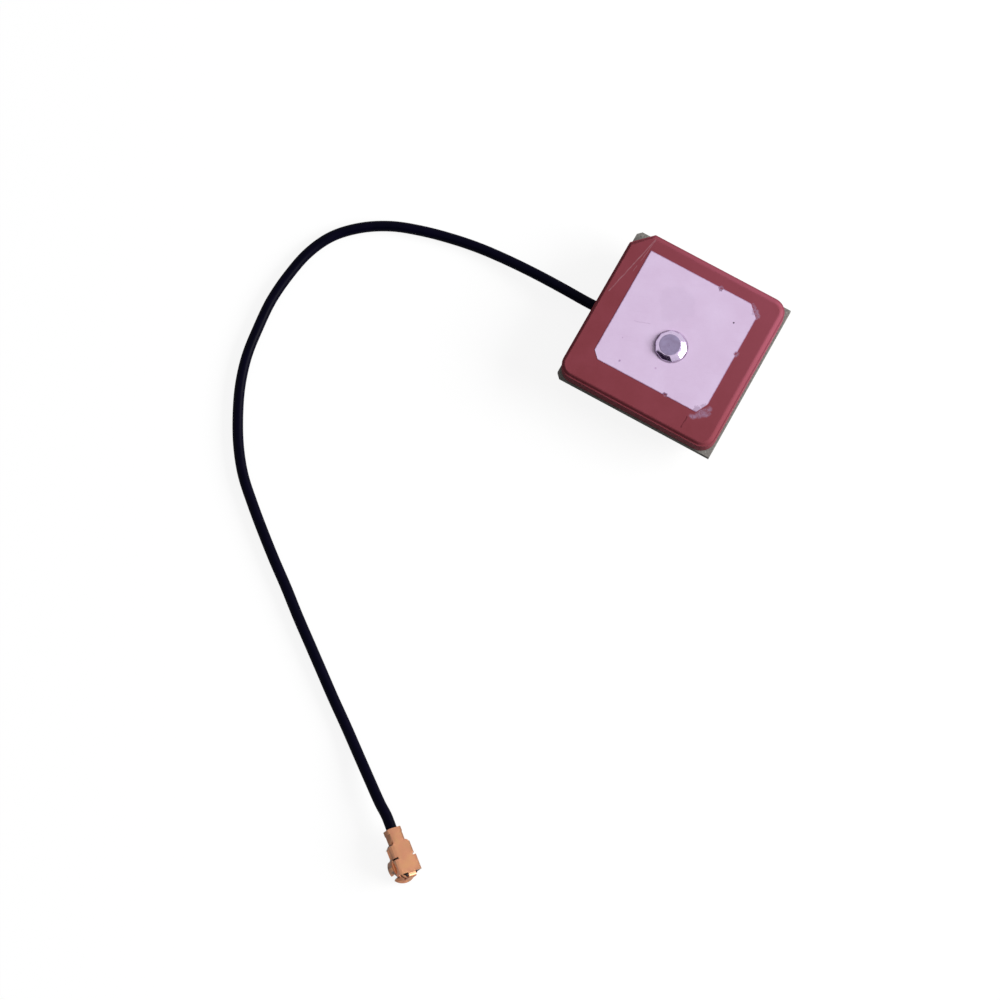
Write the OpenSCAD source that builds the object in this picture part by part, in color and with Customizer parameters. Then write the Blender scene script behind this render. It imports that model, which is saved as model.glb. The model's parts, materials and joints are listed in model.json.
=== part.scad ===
// Ceramic patch antenna for satellite navigation: a bevelled tile on a small circuit board,
// an amplifier in a shield can below it, and a thin coaxial lead with a push-on plug.
// Lengths are in millimetres. The origin is at the middle of the can's flat underside.

/* [Ceramic tile] */
// Side of the square tile
tile_w = 17.9; // [15:0.1:26]
// Thickness of the tile
tile_t = 2; // [1.5:0.1:6]
// Radius of the three round corners
tile_corner_r = 1.6; // [1:0.1:3]
// Leg of the corner that is cut off
tile_corner_cut = 2; // [1:0.1:4]
// Width of the bevel round the top face
bevel_w = 0.34; // [0.1:0.02:0.5]
// Depth of that bevel
bevel_h = 0.3; // [0.1:0.02:0.6]
// Flat land outside the bevel
land_w = 0.14; // [0.05:0.01:0.3]
// Place of the tile on the board, across
tile_dx = -0.08; // [-0.1:0.01:0.1]
// Place of the tile on the board, along
tile_dy = -0.05; // [-0.1:0.01:0.1]

/* [Silver faces] */
// Side of the square patch on top
patch_w = 13.05; // [10:0.05:14]
// Shift of the patch from the tile's middle
patch_dy = 0.62; // [0:0.02:1]
// Thickness of the fired silver
silver_t = 0.03; // [0.01:0.01:0.05]
// Large trimmed corner of the patch
patch_cut_large = 1.25; // [0.5:0.05:2]
// Small trimmed corner, across from the large one
patch_cut_small = 0.8; // [0.3:0.05:1.5]
// Scraped corner of the patch, across
patch_scrape_x = 0.7; // [0.3:0.05:1.5]
// Scraped corner of the patch, along
patch_scrape_y = 1.35; // [0.3:0.05:1.8]
// Width of a tuning nick in the patch's edge
nick_w = 0.3; // [0.1:0.05:0.6]
// Bare ceramic between the ground face and the tile's rim
ground_inset = 0.3; // [0.1:0.05:1]
// Bare ring round the pin in the faces that it passes
pin_clear = 0.8; // [0.4:0.05:1.2]

/* [Feed pin] */
// Diameter of the pin's shaft
pin_d = 0.9; // [0.6:0.05:1.2]
// Gap round the shaft in its holes
pin_gap = 0.1; // [0.05:0.01:0.2]
// Place of the pin from the tile's middle, across
pin_dx = 0.1; // [-0.5:0.05:0.5]
// Place of the pin from the tile's middle, along
pin_dy = -1; // [-1.5:0.05:-0.5]
// Diameter of the flat head
head_d = 2.25; // [1.8:0.05:2.6]
// Thickness of the head
head_t = 0.5; // [0.3:0.05:0.7]
// Diameter of the solder collar at its foot
collar_d = 3.6; // [3:0.05:4.4]
// How far the head stands above the collar
head_step = 0.05; // [0.02:0.01:0.1]
// Length of pin that stands out below the board
pin_tail = 0.5; // [0.3:0.05:0.8]
// Foot of the solder joint below the board
joint_d = 2; // [1.6:0.05:2.4]

/* [Board] */
// Margin of board round the tile
board_margin = 0.1; // [0.1:0.05:1]
// Size of the cut at the board's two corners on the lead's side
board_corner_cut = 0.45; // [0.3:0.05:0.7]
// Thickness of the bare laminate
laminate_t = 0.73; // [0.4:0.01:1.6]
// Thickness of the copper
copper_t = 0.035; // [0.02:0.005:0.07]
// Bare laminate between the copper and the board's rim
copper_inset = 0.3; // [0.2:0.05:0.5]
// Thickness of the adhesive sheet
adhesive_t = 0.1; // [0.05:0.01:0.3]
// Distance of the adhesive sheet from the tile's rim
adhesive_inset = 0.5; // [0.3:0.05:1]

/* [Shield can] */
// Distance of the can's wall from the board's rim
can_inset = 1.25; // [1:0.05:1.6]
// Height of the can
can_h = 2.6; // [2.2:0.05:4]
// Thickness of the can's sheet
can_t = 0.2; // [0.15:0.01:0.3]
// Outer radius of the can's corners
can_r = 0.6; // [0.4:0.05:1]
// Gap round the lead in the can's notch
notch_gap = 0.12; // [0.05:0.01:0.2]
// Length of one solder bead along the can's rim
bead_l = 2.4; // [1:0.1:3]
// Leg of a solder bead
bead_leg = 0.45; // [0.3:0.05:0.6]
// Distance of the beads from the middle of each side
bead_off = 4; // [3:0.1:5]

/* [Lead] */
// Outer diameter of the lead
lead_d = 1.13; // [0.8:0.01:1.4]
// Diameter over the braid
braid_d = 0.88; // [0.6:0.01:1]
// Diameter of the inner insulation
insulation_d = 0.68; // [0.4:0.01:0.8]
// Diameter of the centre wire
core_d = 0.24; // [0.1:0.01:0.35]
// Gap between the lead and the board's copper
lead_drop = 0.035; // [0.02:0.005:0.1]
// Place of the lead along the side that it leaves
lead_y = -0.1; // [-1:0.05:1]
// Length of jacket inside the can
jacket_in = 1.6; // [1:0.1:2]
// Length of bared braid
braid_l = 1.2; // [0.8:0.1:1.6]
// Length of bared inner insulation
insulation_l = 0.5; // [0.3:0.05:0.8]
// Length of bared centre wire
core_l = 0.9; // [0.6:0.05:1.2]

/* [Plug] */
// Outer radius of the ring
ring_r = 1.46; // [1.3:0.01:1.7]
// Height of the ring
ring_h = 1.1; // [0.95:0.05:1.3]
// Thickness of the plug's sheet
sheet_t = 0.15; // [0.1:0.01:0.2]
// Height of the plug over its lid
plug_h = 2; // [1.9:0.02:2.2]
// Where a slot in the ring begins, in degrees from its front
slot_from = 48; // [40:1:52]
// Where that slot ends
slot_to = 66; // [58:1:76]
// Reach of the flared lip at the ring's front
lip_reach = 0.16; // [0.05:0.01:0.2]
// Width over the lid's turned-down sides
head_w = 2.5; // [2.3:0.02:2.6]
// Front edge of those sides, from the ring's middle
head_front = 0.95; // [0.8:0.05:1.1]
// Rear edge of those sides
head_back = 0.65; // [0.5:0.05:0.8]
// Width of the hinge strip at the plug's front
strip_w = 0.84; // [0.6:0.02:1]
// Relief beside the strip's foot
relief_w = 0.16; // [0.08:0.02:0.2]
// Width over the wrap behind the lid
wrap_w = 2.26; // [2.1:0.02:2.4]
// Front edge of the wrap's sides
wrap_front = 0.85; // [0.8:0.05:0.95]
// Rear end of the wrap, from the ring's middle
wrap_back = 2.4; // [2.3:0.05:2.8]
// Lower edge of the wrap's sides
wrap_low = 1.15; // [0.9:0.05:1.3]
// Cut at each rear corner of the wrap
wrap_cut = 0.42; // [0.2:0.02:0.5]
// Width over the two arms behind the ring
arm_w = 2.1; // [1.9:0.02:2.2]
// Lower edge of the arms
arm_low = 0.45; // [0.3:0.05:0.6]
// Length of the barrel that grips the jacket
barrel_l = 1.45; // [1.3:0.05:2]
// Wall of the barrel with its folded crimps
barrel_t = 0.21; // [0.15:0.01:0.25]
// Length of jacket inside the barrel
barrel_grip = 1.2; // [0.8:0.05:1.2]
// Gap between the jacket and the barrel
barrel_gap = 0.01; // [0.005:0.005:0.03]
// Turn of the plug on the floor, seen from above
plug_heading = -39.5; // [-60:0.5:-20]
// Roll of the plug onto the edge of its ring
plug_roll = 26; // [10:1:35]

/* [Chip parts] */
// Length of a chip capacitor or resistor
chip_l = 1; // [0.6:0.05:1.2]
// Width of a chip capacitor or resistor
chip_w = 0.5; // [0.3:0.05:0.6]
// Height of a chip capacitor
cap_h = 0.5; // [0.3:0.05:0.6]
// Height of a chip resistor
resistor_h = 0.35; // [0.2:0.05:0.5]
// Length of a chip inductor
coil_l = 1.6; // [1:0.05:1.8]
// Width and height of a chip inductor
coil_w = 0.8; // [0.5:0.05:1]
// Length of a chip part's metal end
end_l = 0.2; // [0.1:0.05:0.25]
// Length of an amplifier's case
amp_l = 2; // [1.6:0.05:2.2]
// Width of an amplifier's case
amp_w = 1.25; // [1:0.05:1.4]
// Height of an amplifier's case
amp_h = 0.95; // [0.7:0.05:1.1]
// Width of an amplifier's leg
leg_w = 0.3; // [0.2:0.05:0.4]
// Reach of a leg beyond the case
leg_reach = 0.4; // [0.3:0.05:0.6]
// Thickness of a leg
leg_t = 0.12; // [0.1:0.01:0.15]
// Length of the band filter
filter_l = 2.5; // [1.6:0.1:3]
// Width of the band filter
filter_w = 2; // [1.6:0.1:2.4]
// Height of the band filter without its lid
filter_h = 0.9; // [0.6:0.05:1.1]
// Thickness of the filter's lid
filter_lid_t = 0.1; // [0.05:0.01:0.2]

/* [Hidden] */
$fn = 48;

// Levels, from the floor up
can_top_z = can_h;
laminate_z = can_top_z + copper_t;
copper_top_z = laminate_z + laminate_t;
adhesive_z = copper_top_z + copper_t;
ground_z = adhesive_z + adhesive_t;
tile_z = ground_z + silver_t;
patch_z = tile_z + tile_t;
head_z = patch_z + silver_t;

// Plan sizes that follow from the tile and the board
board_w = tile_w + 2 * board_margin;
can_w = board_w - 2 * can_inset;
pin_x = tile_dx + pin_dx;
pin_y = tile_dy + pin_dy;
pin_hole_d = pin_d + 2 * pin_gap;
clear_d = pin_hole_d + 2 * pin_clear;
collar_h = head_t - head_step;
collar_foot = 0.06;
tail_z = can_top_z - pin_tail;
joint_h = 0.8 * pin_tail;

// Copper below the board
ring_in_w = can_w - 2 * can_t - 1;
ring_out_w = board_w - 2 * copper_inset;
pad_l = 0.35;
pad_margin = 0.1;
trace_w = 0.35;
lid_margin = 0.15;

// The lead below the board
lead_r = lead_d / 2;
lead_z = can_top_z - lead_drop - lead_r;
jacket_x = -can_w / 2 + jacket_in;
braid_end_x = jacket_x + braid_l;
insulation_end_x = braid_end_x + insulation_l;
core_end_x = insulation_end_x + core_l;
mound_side = 0.35;
braid_mound_w = braid_d + 2 * mound_side;
core_mound_w = 1;
core_mound_over = 0.2;
core_mound_h = can_top_z - lead_z + core_d / 2 + 0.15;

// Chip parts by place and turn, from the pin
CAPS = [[1.8, 2.2, 90], [0.8, 4.6, 90], [-3.9, 4.2, 90], [2.6, -2.6, 0], [-2.4, -2.8, 0], [4.4, -2.2, 90]];
RESISTORS = [[0.2, -3.4, 0], [-3.9, -2.6, 90], [4.6, 2.3, 0]];
COILS = [[2.1, 0.2, 0], [-1.5, 2.5, 90], [-2.6, -4, 0]];
AMPS = [[4.4, 0.3], [-1.7, 5]];
FILTER = [3.1, 4.6];

// The plug and where it lies
barrel_bore_r = lead_r + barrel_gap;
barrel_r = barrel_bore_r + barrel_t;
barrel_bend = 0.35;
barrel_band = 0.5;
barrel_step = 0.06;
seam_w = 0.14;
axis_h = plug_h - barrel_r;
braid_bore_r = braid_d / 2 + barrel_gap;
plug_z = ring_r * sin(plug_roll);
lead_end_z = plug_z + axis_h * cos(plug_roll);
mouth = [-0.65, -58.5];
ahead = [cos(plug_heading), sin(plug_heading)];
aside = [-sin(plug_heading), cos(plug_heading)];
mouth_back = wrap_back + barrel_l;
lead_straight = 1.5;
plug_place = mouth + ahead * mouth_back - aside * axis_h * sin(plug_roll);
head_bend = 0.2;
wrap_bend = 0.3;
strip_bend = 0.25;
braid_stop = wrap_back - wrap_cut;
arm_back = braid_stop;
// The arms end inside the ring's wall
arm_front = (sqrt(pow(ring_r, 2) - pow(arm_w / 2, 2))
             + sqrt(pow(ring_r - sheet_t, 2) - pow(arm_w / 2 - sheet_t, 2))) / 2;
fit_gap = 0.02;
puck_low = ring_h / 2 - 0.05;
socket_r = 0.3;
socket_wall = 0.1;
socket_low = 0.25;
tail_w = 0.4;
tail_t = 0.12;
stub_l = 0.3;
wire_stop = 0.6;

// The lead's route: out of the can, down to the floor, round, and up into the plug
route = concat(
    [[jacket_x, lead_y, lead_z], [-can_w / 2, lead_y, lead_z], [-board_w / 2, lead_y, lead_z]],
    [
        [-10.6, -0.1, 1.98], [-13.4, 0, 1.84], [-16.6, 0.1, 1.46], [-19.9, 0.1, 1], [-23.2, -0.1, 0.68],
        [-26.3, -0.6, 0.58], [-29.5, -1.4, 0.58], [-32.5, -2.5, 0.58], [-35.2, -4.2, 0.58],
        [-37.4, -6.5, 0.58], [-38.7, -9.3, 0.58], [-39.3, -12.5, 0.58], [-39.5, -15.8, 0.58],
        [-39.2, -19.1, 0.58], [-38.7, -22.3, 0.58], [-37.7, -25.4, 0.58], [-36.3, -28.3, 0.58],
        [-34.6, -31.1, 0.58], [-32.6, -33.6, 0.58], [-30.2, -35.8, 0.58], [-27.7, -37.9, 0.58],
        [-25.2, -39.9, 0.58], [-22.7, -41.8, 0.58], [-20.2, -43.8, 0.58], [-17.7, -45.7, 0.58],
        [-15.2, -47.6, 0.58], [-12.7, -49.5, 0.58], [-10.1, -51.4, 0.6], [-7.6, -53.3, 0.86],
        [-5.1, -55.2, 1.32], [-3.1, -56.7, 1.6]
    ],
    [for (step = [-lead_straight, 0, barrel_grip]) concat(mouth + step * ahead, lead_end_z)]
);
lead_sides = 8;

// Flat outlines
module centred_square(w) {
    square([w, w], center = true);
}

module round_square(w, r) {
    square([w, w - 2 * r], center = true);
    square([w - 2 * r, w], center = true);
    for (x = [-1, 1], y = [-1, 1])
        translate([x, y] * (w / 2 - r)) circle(r);
}

// The tile's rim in section, from its foot to the top face, for a rim at distance d
function rim(d, top) = [
    [d, top - bevel_h], [d - land_w, top - bevel_h], [d - land_w - bevel_w, top]
];

module tile_section() {
    half = rim(tile_w / 2, tile_t);
    other = [for (i = [2:-1:0]) [-half[i].x, half[i].y]];
    polygon(concat([[tile_w / 2, 0]], half, other, [[-tile_w / 2, 0]]));
}

module tile_prism() {
    rotate([90, 0, 0])
        linear_extrude(tile_w, center = true) tile_section();
}

// What is cut away outside one round corner, in the first quadrant of the corner's arc
module round_corner_cut() {
    over = 1;
    edge = rim(tile_corner_r, tile_t);
    inner = edge[2].x;
    difference() {
        translate([0, 0, -over]) cube([tile_corner_r + over, tile_corner_r + over, tile_t + 2 * over]);
        rotate_extrude()
            polygon(concat([[0, -2 * over], [tile_corner_r, -2 * over]], edge,
                           [[inner, tile_t + 2 * over], [0, tile_t + 2 * over]]));
    }
}

// What is cut away outside the straight corner
module straight_corner_cut() {
    over = 1;
    reach = (tile_w - tile_corner_cut) / sqrt(2);
    edge = rim(reach, tile_t);
    rotate([0, 0, 135]) rotate([90, 0, 0])
        linear_extrude(4 * tile_corner_cut, center = true)
            polygon(concat([[reach, -over]], edge, [[edge[2].x, tile_t + over],
                           [reach + 2 * tile_corner_cut, tile_t + over],
                           [reach + 2 * tile_corner_cut, -over]]));
}

module ceramic_tile() {
    arc = tile_w / 2 - tile_corner_r;
    color([0.51, 0.24, 0.28])
        difference() {
            translate([tile_dx, tile_dy, tile_z])
                difference() {
                    intersection() {
                        tile_prism();
                        rotate([0, 0, 90]) tile_prism();
                    }
                    translate([arc, arc, 0]) round_corner_cut();
                    translate([-arc, -arc, 0]) rotate([0, 0, 180]) round_corner_cut();
                    translate([arc, -arc, 0]) rotate([0, 0, -90]) round_corner_cut();
                    straight_corner_cut();
                }
            translate([pin_x, pin_y, tile_z - 1]) cylinder(d = pin_hole_d, h = tile_t + 2);
        }
}

// The patch, with its trimmed corners and three tuning nicks
module patch_outline() {
    h = patch_w / 2;
    difference() {
        polygon([
            [-h + patch_cut_small, -h], [h - patch_scrape_x, -h], [h, -h + patch_scrape_y],
            [h, h - patch_cut_large], [h - patch_cut_large, h], [-h, h], [-h, -h + patch_cut_small]
        ]);
        for (nick = [[1.85, h], [h, 0.95], [2.2, -h]])
            translate(nick) centred_square(nick_w);
    }
}

module patch_silver() {
    color([0.83, 0.75, 0.85])
        translate([0, 0, patch_z])
            linear_extrude(silver_t)
                difference() {
                    translate([tile_dx, tile_dy + patch_dy]) patch_outline();
                    translate([pin_x, pin_y]) circle(d = pin_hole_d);
                }
}

module ground_outline() {
    w = tile_w - 2 * ground_inset;
    h = w / 2;
    difference() {
        round_square(w, tile_corner_r - ground_inset);
        polygon([[-h - 1, h - tile_corner_cut - 1], [-h + tile_corner_cut + 1, h + 1], [-h - 1, h + 1]]);
    }
}

module ground_silver() {
    color([0.8, 0.78, 0.8])
        translate([0, 0, ground_z])
            linear_extrude(silver_t)
                difference() {
                    translate([tile_dx, tile_dy]) ground_outline();
                    translate([pin_x, pin_y]) circle(d = clear_d);
                }
}

module feed_pin() {
    color([0.55, 0.5, 0.6])
        translate([pin_x, pin_y, 0]) {
            translate([0, 0, tail_z]) cylinder(d = pin_d, h = head_z - tail_z + head_t / 2);
            translate([0, 0, head_z]) cylinder(d = head_d, h = head_t);
        }
}

// Solder round the head, with a rounded shoulder
module pin_collar() {
    steps = 8;
    inner = head_d / 2;
    width = collar_d / 2 - inner;
    rise = collar_h - collar_foot;
    color([0.75, 0.7, 0.78])
        translate([pin_x, pin_y, head_z])
            rotate_extrude()
                polygon(concat([[inner, 0]],
                    [for (i = [0:steps])
                        let (a = 90 * i / steps)
                        [inner + width * (1 - 0.9 * (1 - cos(a)) - 0.1 * i / steps),
                         collar_foot * (i > 0 ? 1 : 0) + rise * sin(a)]]));
}

module adhesive_sheet() {
    color([0.86, 0.84, 0.78])
        translate([0, 0, adhesive_z])
            linear_extrude(adhesive_t)
                difference() {
                    translate([tile_dx, tile_dy])
                        round_square(tile_w - 2 * adhesive_inset, tile_corner_r - adhesive_inset);
                    translate([-1, 1] * (tile_w / 2) + [tile_dx, tile_dy])
                        rotate([0, 0, 45]) centred_square(sqrt(2) * (tile_corner_cut + adhesive_inset));
                    translate([pin_x, pin_y]) circle(d = clear_d);
                }
}

// A square with two corners cut on the lead's side
module board_outline(w, cut) {
    difference() {
        centred_square(w);
        for (side = [-1, 1])
            translate([-1, side] * (w / 2)) rotate([0, 0, 45]) centred_square(sqrt(2) * cut);
    }
}

module circuit_board() {
    color([0.48, 0.5, 0.44])
        translate([0, 0, laminate_z])
            linear_extrude(laminate_t)
                difference() {
                    board_outline(board_w, board_corner_cut);
                    translate([pin_x, pin_y]) circle(d = pin_hole_d);
                }
}

module copper_top() {
    color([0.72, 0.45, 0.25])
        translate([0, 0, copper_top_z])
            linear_extrude(copper_t)
                difference() {
                    intersection() {
                        centred_square(board_w - 2 * copper_inset - 2 * adhesive_inset);
                        translate([tile_dx, tile_dy]) ground_outline();
                    }
                    translate([pin_x, pin_y]) circle(d = clear_d);
                }
}

// Places of the parts below the board, from the pin
module at_part(place) {
    translate([pin_x + place.x, pin_y + place.y]) rotate([0, 0, len(place) > 2 ? place.z : 0]) children();
}

module end_pads(l, w) {
    for (side = [-1, 1])
        translate([side * (l - pad_l) / 2, 0])
            square([pad_l + 2 * pad_margin, w + 2 * pad_margin], center = true);
}

module leg_pads() {
    for (x = [-1, 1], y = [-1, 1])
        translate([x * (amp_l / 2 - leg_w), y * (amp_w / 2 + leg_reach - pad_l / 2)])
            square([leg_w + 2 * pad_margin, pad_l + 2 * pad_margin], center = true);
}

module filter_pads() {
    for (x = [-1, 0, 1], y = [-1, 1])
        translate([x * (filter_l / 2 - pad_l), y * (filter_w / 2 - pad_l / 2)])
            square([pad_l + pad_margin, pad_l + 2 * pad_margin], center = true);
}

// Rim that the can is soldered to, with a tongue for the braid, and the pads of the parts
module copper_under_outline() {
    difference() {
        board_outline(ring_out_w, max(0.05, board_corner_cut - (2 - sqrt(2)) * copper_inset));
        centred_square(ring_in_w);
    }
    translate([-ring_in_w / 2 - trace_w, lead_y - braid_mound_w / 2 - pad_margin])
        square([braid_end_x + ring_in_w / 2 + trace_w, braid_mound_w + 2 * pad_margin]);
    translate([insulation_end_x, lead_y - core_mound_w / 2 - pad_margin])
        square([core_l + core_mound_over + pad_margin, core_mound_w + 2 * pad_margin]);
    difference() {
        translate([pin_x, pin_y]) circle(d = joint_d + 2 * pad_margin);
        translate([pin_x, pin_y]) circle(d = pin_hole_d);
    }
    for (place = concat(CAPS, RESISTORS)) at_part(place) end_pads(chip_l, chip_w);
    for (place = COILS) at_part(place) end_pads(coil_l, coil_w);
    for (place = AMPS) at_part(place) leg_pads();
    at_part(FILTER) filter_pads();
}

module copper_under() {
    color([0.8, 0.66, 0.36])
        translate([0, 0, can_top_z]) linear_extrude(copper_t) copper_under_outline();
}

module pin_joint() {
    color([0.72, 0.72, 0.74])
        translate([pin_x, pin_y, can_top_z - joint_h])
            difference() {
                cylinder(d1 = (joint_d + pin_d) / 2, d2 = joint_d, h = joint_h);
                translate([0, 0, -1]) cylinder(d = pin_d, h = joint_h + 2);
            }
}

// A box with an open top and with round corners and round bottom edges
module round_box(w, h, r) {
    inner = w - 2 * r;
    translate([0, 0, r]) linear_extrude(h - r) round_square(w, r);
    translate([0, 0, r / 2]) cube([inner, inner, r], center = true);
    for (turn = [0:90:270])
        rotate([0, 0, turn]) {
            translate([inner / 2, 0, r]) rotate([90, 0, 0]) cylinder(r = r, h = inner, center = true);
            translate([inner / 2, inner / 2, r]) sphere(r);
        }
}

module shield_can() {
    reach = 2 * can_t + can_r;
    notch_r = lead_r + notch_gap;
    color([0.74, 0.74, 0.76])
        difference() {
            round_box(can_w, can_h, can_r);
            translate([0, 0, can_t]) round_box(can_w - 2 * can_t, can_h, can_r - can_t);
            translate([-can_w / 2, lead_y, lead_z]) {
                rotate([0, 90, 0]) cylinder(r = notch_r, h = reach, center = true);
                translate([0, 0, can_h / 2]) cube([reach, 2 * notch_r, can_h], center = true);
            }
        }
}

// Concave solder fillets between the can's wall and the copper rim
module bead() {
    rotate([90, 0, 0])
        linear_extrude(bead_l, center = true)
            difference() {
                translate([0, -bead_leg]) square(bead_leg);
                translate([bead_leg, -bead_leg]) circle(0.86 * bead_leg);
            }
}

module can_solder() {
    color([0.78, 0.78, 0.8])
        for (turn = [0:90:270], side = [-1, 1])
            rotate([0, 0, turn]) translate([can_w / 2, side * bead_off, can_top_z]) bead();
}

// A part that hangs below the board's copper, of height h
module below_board(h) {
    translate([0, 0, can_top_z - h]) children();
}

module amplifier_case() {
    below_board(amp_h)
        translate([0, 0, leg_t / 2])
            linear_extrude(amp_h - leg_t) square([amp_l, amp_w], center = true);
}

module amplifier_first() {
    color([0.12, 0.12, 0.13])
        at_part(AMPS[0]) amplifier_case();
}

module amplifier_second() {
    color([0.12, 0.12, 0.13])
        at_part(AMPS[1]) amplifier_case();
}

// One gull-wing leg, from the case's wall to the pad
module leg() {
    knee = leg_reach / 2;
    rise = amp_h / 2;
    rotate([90, 0, 90])
        linear_extrude(leg_w, center = true)
            polygon([
                [0, -rise], [knee + leg_t, -rise], [knee + leg_t, -leg_t], [leg_reach, -leg_t],
                [leg_reach, 0], [knee, 0], [knee, -rise + leg_t], [0, -rise + leg_t]
            ]);
}

module amplifier_legs() {
    color([0.76, 0.76, 0.78])
        for (place = AMPS, x = [-1, 1], y = [-1, 1])
            at_part(place)
                translate([x * (amp_l / 2 - leg_w), y * amp_w / 2, can_top_z])
                    mirror([0, y < 0 ? 1 : 0, 0]) leg();
}

module band_filter() {
    color([0.82, 0.8, 0.74])
        at_part(FILTER)
            below_board(filter_h) linear_extrude(filter_h) square([filter_l, filter_w], center = true);
}

module filter_lid() {
    color([0.82, 0.7, 0.42])
        at_part(FILTER)
            below_board(filter_h + filter_lid_t)
                linear_extrude(filter_lid_t)
                    square([filter_l - 2 * lid_margin, filter_w - 2 * lid_margin], center = true);
}

module chip_case(l, w, h) {
    below_board(h) linear_extrude(h) square([l - 2 * end_l, w], center = true);
}

module chip_end_pair(l, w, h) {
    for (side = [-1, 1])
        translate([side * (l - end_l) / 2, 0, 0])
            below_board(h) linear_extrude(h) square([end_l, w], center = true);
}

module capacitors() {
    color([0.66, 0.55, 0.4])
        for (place = CAPS) at_part(place) chip_case(chip_l, chip_w, cap_h);
}

module resistors() {
    color([0.15, 0.15, 0.17])
        for (place = RESISTORS) at_part(place) chip_case(chip_l, chip_w, resistor_h);
}

module inductors() {
    color([0.36, 0.42, 0.46])
        for (place = COILS) at_part(place) chip_case(coil_l, coil_w, coil_w);
}

module chip_ends() {
    color([0.8, 0.8, 0.82]) {
        for (place = CAPS) at_part(place) chip_end_pair(chip_l, chip_w, cap_h);
        for (place = RESISTORS) at_part(place) chip_end_pair(chip_l, chip_w, resistor_h);
        for (place = COILS) at_part(place) chip_end_pair(coil_l, coil_w, coil_w);
    }
}

// A stretch of the lead's inside along the X axis
module stretch(x1, x2, d) {
    translate([x1, lead_y, lead_z]) rotate([0, 90, 0]) cylinder(d = d, h = x2 - x1);
}

module lead_braid() {
    color([0.7, 0.66, 0.6])
        stretch(jacket_x, braid_end_x, braid_d);
}

module lead_insulation() {
    color([0.92, 0.92, 0.9])
        stretch(braid_end_x, insulation_end_x, insulation_d);
}

module lead_core() {
    color([0.8, 0.76, 0.7])
        stretch(insulation_end_x, core_end_x, core_d);
}

// Solder from the copper tongue round the upper half of the braid
module braid_solder() {
    h = can_top_z - lead_z + braid_d / 4;
    color([0.75, 0.75, 0.77])
        difference() {
            translate([jacket_x + braid_l / 2, lead_y, can_top_z])
                rotate([0, 90, 0])
                    linear_extrude(braid_l - 2 * pad_margin, center = true)
                        polygon([[0, -braid_mound_w / 2], [h, -braid_d / 2 - mound_side / 3],
                                 [h, braid_d / 2 + mound_side / 3], [0, braid_mound_w / 2]]);
            stretch(jacket_x - 1, braid_end_x + 1, braid_d);
        }
}

module core_solder() {
    l = core_l + core_mound_over;
    color([0.75, 0.75, 0.77])
        difference() {
            translate([insulation_end_x + core_mound_over / 2, lead_y, can_top_z - core_mound_h])
                linear_extrude(core_mound_h)
                    translate([0, -core_mound_w / 2]) square([l - core_mound_over / 2, core_mound_w]);
            stretch(insulation_end_x - 1, core_end_x, core_d);
        }
}

// The jacket, swept along the route on a smooth curve through its points
function blend(a, b, c, d, t) = 0.5 * (
    2 * b + (c - a) * t + (2 * a - 5 * b + 4 * c - d) * t * t + (3 * b - a - 3 * c + d) * t * t * t
);
function unit(v) = v / norm(v);
function at_route(i) = route[min(max(i, 0), len(route) - 1)];
sweep_points = [
    for (i = [0:len(route) - 2], t = [0, 0.5])
        blend(at_route(i - 1), at_route(i), at_route(i + 1), at_route(i + 2), t),
    route[len(route) - 1]
];
function sweep_way(i) = unit(
    i == 0 ? sweep_points[1] - sweep_points[0] :
    i == len(sweep_points) - 1 ? sweep_points[i] - sweep_points[i - 1] :
    sweep_points[i + 1] - sweep_points[i - 1]
);
function sweep_ring(i) = let (
    way = sweep_way(i),
    side = unit(cross([0, 0, 1], way)),
    rise = cross(way, side)
) [for (j = [0:lead_sides - 1])
    let (a = 360 * j / lead_sides) sweep_points[i] + lead_r * (cos(a) * side + sin(a) * rise)];

module lead_jacket() {
    n = lead_sides;
    last = len(sweep_points) - 1;
    color([0.03, 0.02, 0.08])
        polyhedron(
            points = [for (i = [0:last]) each sweep_ring(i)],
            faces = concat(
                [[for (j = [0:n - 1]) j]],
                [for (i = [0:last - 1], j = [0:n - 1])
                    [i * n + j, (i + 1) * n + j, (i + 1) * n + (j + 1) % n, i * n + (j + 1) % n]],
                [[for (j = [n - 1:-1:0]) last * n + j]]
            )
        );
}

// The plug's own frame: the ring's rim lies at height 0 round the origin, the nose points along X
module place_plug() {
    translate([plug_place.x, plug_place.y, plug_z])
        rotate([0, 0, plug_heading]) rotate([-plug_roll, 0, 0]) children();
}

module ring_wall(outer, inner, h) {
    difference() {
        cylinder(r = outer, h = h);
        translate([0, 0, -1]) cylinder(r = inner, h = h + 2);
    }
}

// A wedge as seen from above, from one angle to another
module wedge(from, to, h) {
    reach = 2 * ring_r;
    turns = [for (i = [0:3]) from + (to - from) * i / 3];
    translate([0, 0, -h])
        linear_extrude(3 * h)
            polygon(concat([[0, 0]], [for (a = turns) reach * [cos(a), sin(a)]]));
}

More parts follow.
